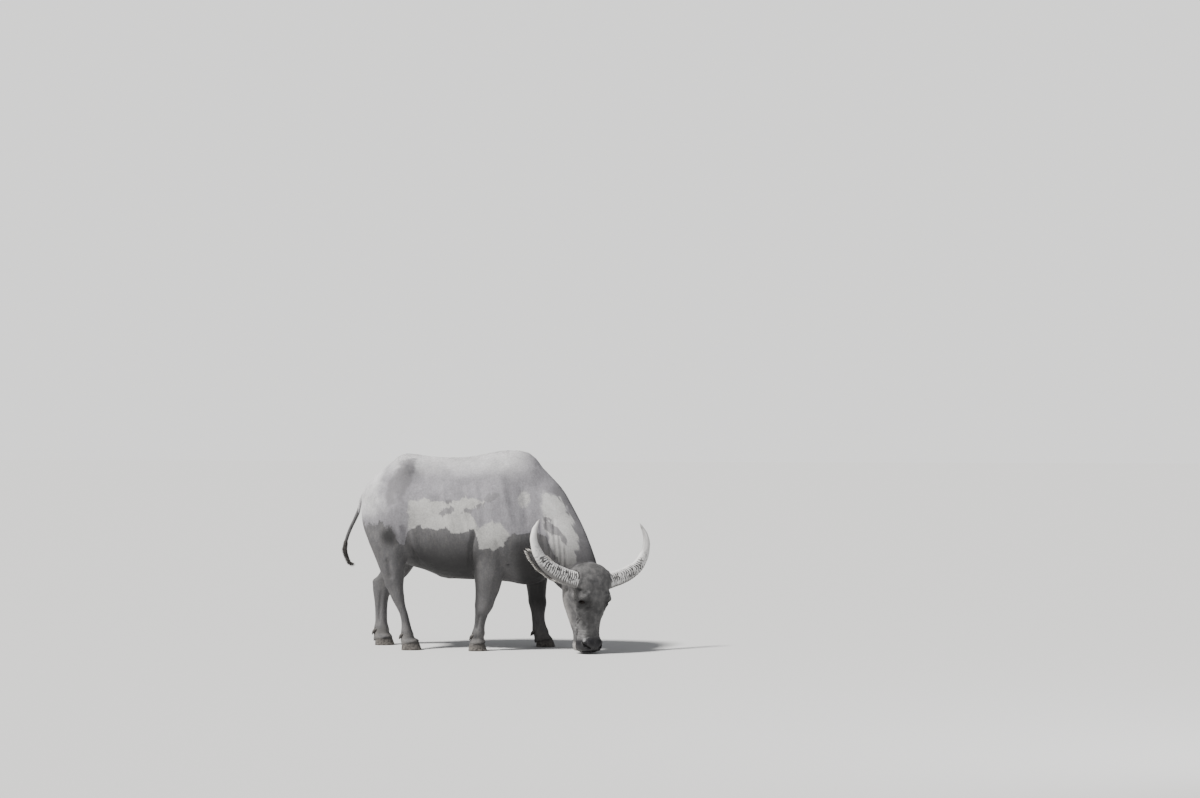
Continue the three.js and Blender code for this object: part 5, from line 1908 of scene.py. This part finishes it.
class BUFFALO_OT_stage(bpy.types.Operator):
    """Makes the floor, the light and the camera"""

    bl_idname = "buffalo.stage"
    bl_label = "Stage"

    def execute(self, context):
        self.floor()
        self.lights(context)
        self.camera(context)
        return {"FINISHED"}

    def floor(self):
        """A wide plain floor."""
        material, _, _ = new_material("floor", Base_Color=(0.52, 0.52, 0.516, 1), Roughness=0.9)
        bm = bmesh.new()
        bmesh.ops.create_grid(bm, x_segments=1, y_segments=1, size=60)
        floor = object_from_bmesh("floor", bm, material)

    def lights(self, context):
        """A wide soft sun, a fill light, and a sky that is brighter to the camera than as a light."""
        world = context.scene.world or bpy.data.worlds.new("World")
        context.scene.world = world
        world.use_nodes = True
        tree = world.node_tree
        background = tree.nodes["Background"]
        seen = add(tree, "ShaderNodeLightPath").outputs["Is Camera Ray"]
        tint = mix(tree, seen, (0.95, 0.965, 1.0), (1.0, 0.996, 0.985))
        tree.links.new(tint, background.inputs["Color"])
        tree.links.new(rise(tree, seen, 0, 1, 0.36, 1.35), background.inputs["Strength"])
        middle = Vector((0, 0, 0.7))
        lamps = (
            ("sun", "SUN", (-3.6, -2.6, 6.4), 0.14, 9.0, (1.0, 0.985, 0.96)),
            ("fill", "AREA", (4.5, -5.0, 2.4), 4.0, 60, (0.94, 0.96, 1.0)),
        )
        for name, kind, place, size, power, colour in lamps:
            light = bpy.data.lights.new(name, kind)
            if kind == "SUN":
                light.angle = size
            else:
                light.shape = "DISK"
                light.size = size
            light.energy = power
            light.color = colour
            lamp = bpy.data.objects.new(name, light)
            lamp.location = place
            lamp.rotation_euler = (middle - Vector(place)).to_track_quat("-Z", "Y").to_euler()
            context.scene.collection.objects.link(lamp)

    def camera(self, context):
        """The camera stands level with the animal's back, 18 m to its right and a little ahead."""
        angle = math.radians(8.0)
        toward = Vector((math.sin(angle), -math.cos(angle), 0))
        right = Vector((math.cos(angle), math.sin(angle), 0))
        data = bpy.data.cameras.new("camera")
        data.sensor_width = 36
        data.lens = 2727 / 1200 * 36
        data.clip_end = 200
        camera = bpy.data.objects.new("camera", data)
        context.scene.collection.objects.link(camera)
        camera.location = Vector(ORIGIN) + toward * 18.0 + right * 0.607 + Vector((0, 0, 1.6))
        look = (-toward + Vector((0, 0, 7 / 2727))).normalized()
        camera.rotation_euler = look.to_track_quat("-Z", "Y").to_euler()
        context.scene.camera = camera


class BUFFALO_PT_panel(bpy.types.Panel):
    bl_label = "Buffalo"
    bl_idname = "BUFFALO_PT_panel"
    bl_space_type = "VIEW_3D"
    bl_region_type = "UI"
    bl_category = "Buffalo"

    def draw(self, context):
        settings = context.scene.buffalo
        for group in (settings.skin, settings.horn, settings.coat):
            for key in group.__annotations__:
                self.layout.prop(group, key)
        for operator in OPERATORS:
            self.layout.operator(operator.bl_idname)


OPERATORS = (
    BUFFALO_OT_skin,
    BUFFALO_OT_eyes,
    BUFFALO_OT_horns,
    BUFFALO_OT_claws,
    BUFFALO_OT_coat,
    BUFFALO_OT_stage,
)
CLASSES = (BuffaloSkin, BuffaloHorn, BuffaloCoat, BuffaloSettings, *OPERATORS, BUFFALO_PT_panel)


def register():
    for cls in CLASSES:
        bpy.utils.register_class(cls)
    bpy.types.Scene.buffalo = PointerProperty(type=BuffaloSettings)


def unregister():
    del bpy.types.Scene.buffalo
    for cls in reversed(CLASSES):
        bpy.utils.unregister_class(cls)


def main():
    register()
    bpy.ops.buffalo.skin()
    bpy.ops.buffalo.eyes()
    bpy.ops.buffalo.horns()
    bpy.ops.buffalo.claws()
    bpy.ops.buffalo.coat()
    bpy.ops.buffalo.stage()


if __name__ == "__main__":
    main()
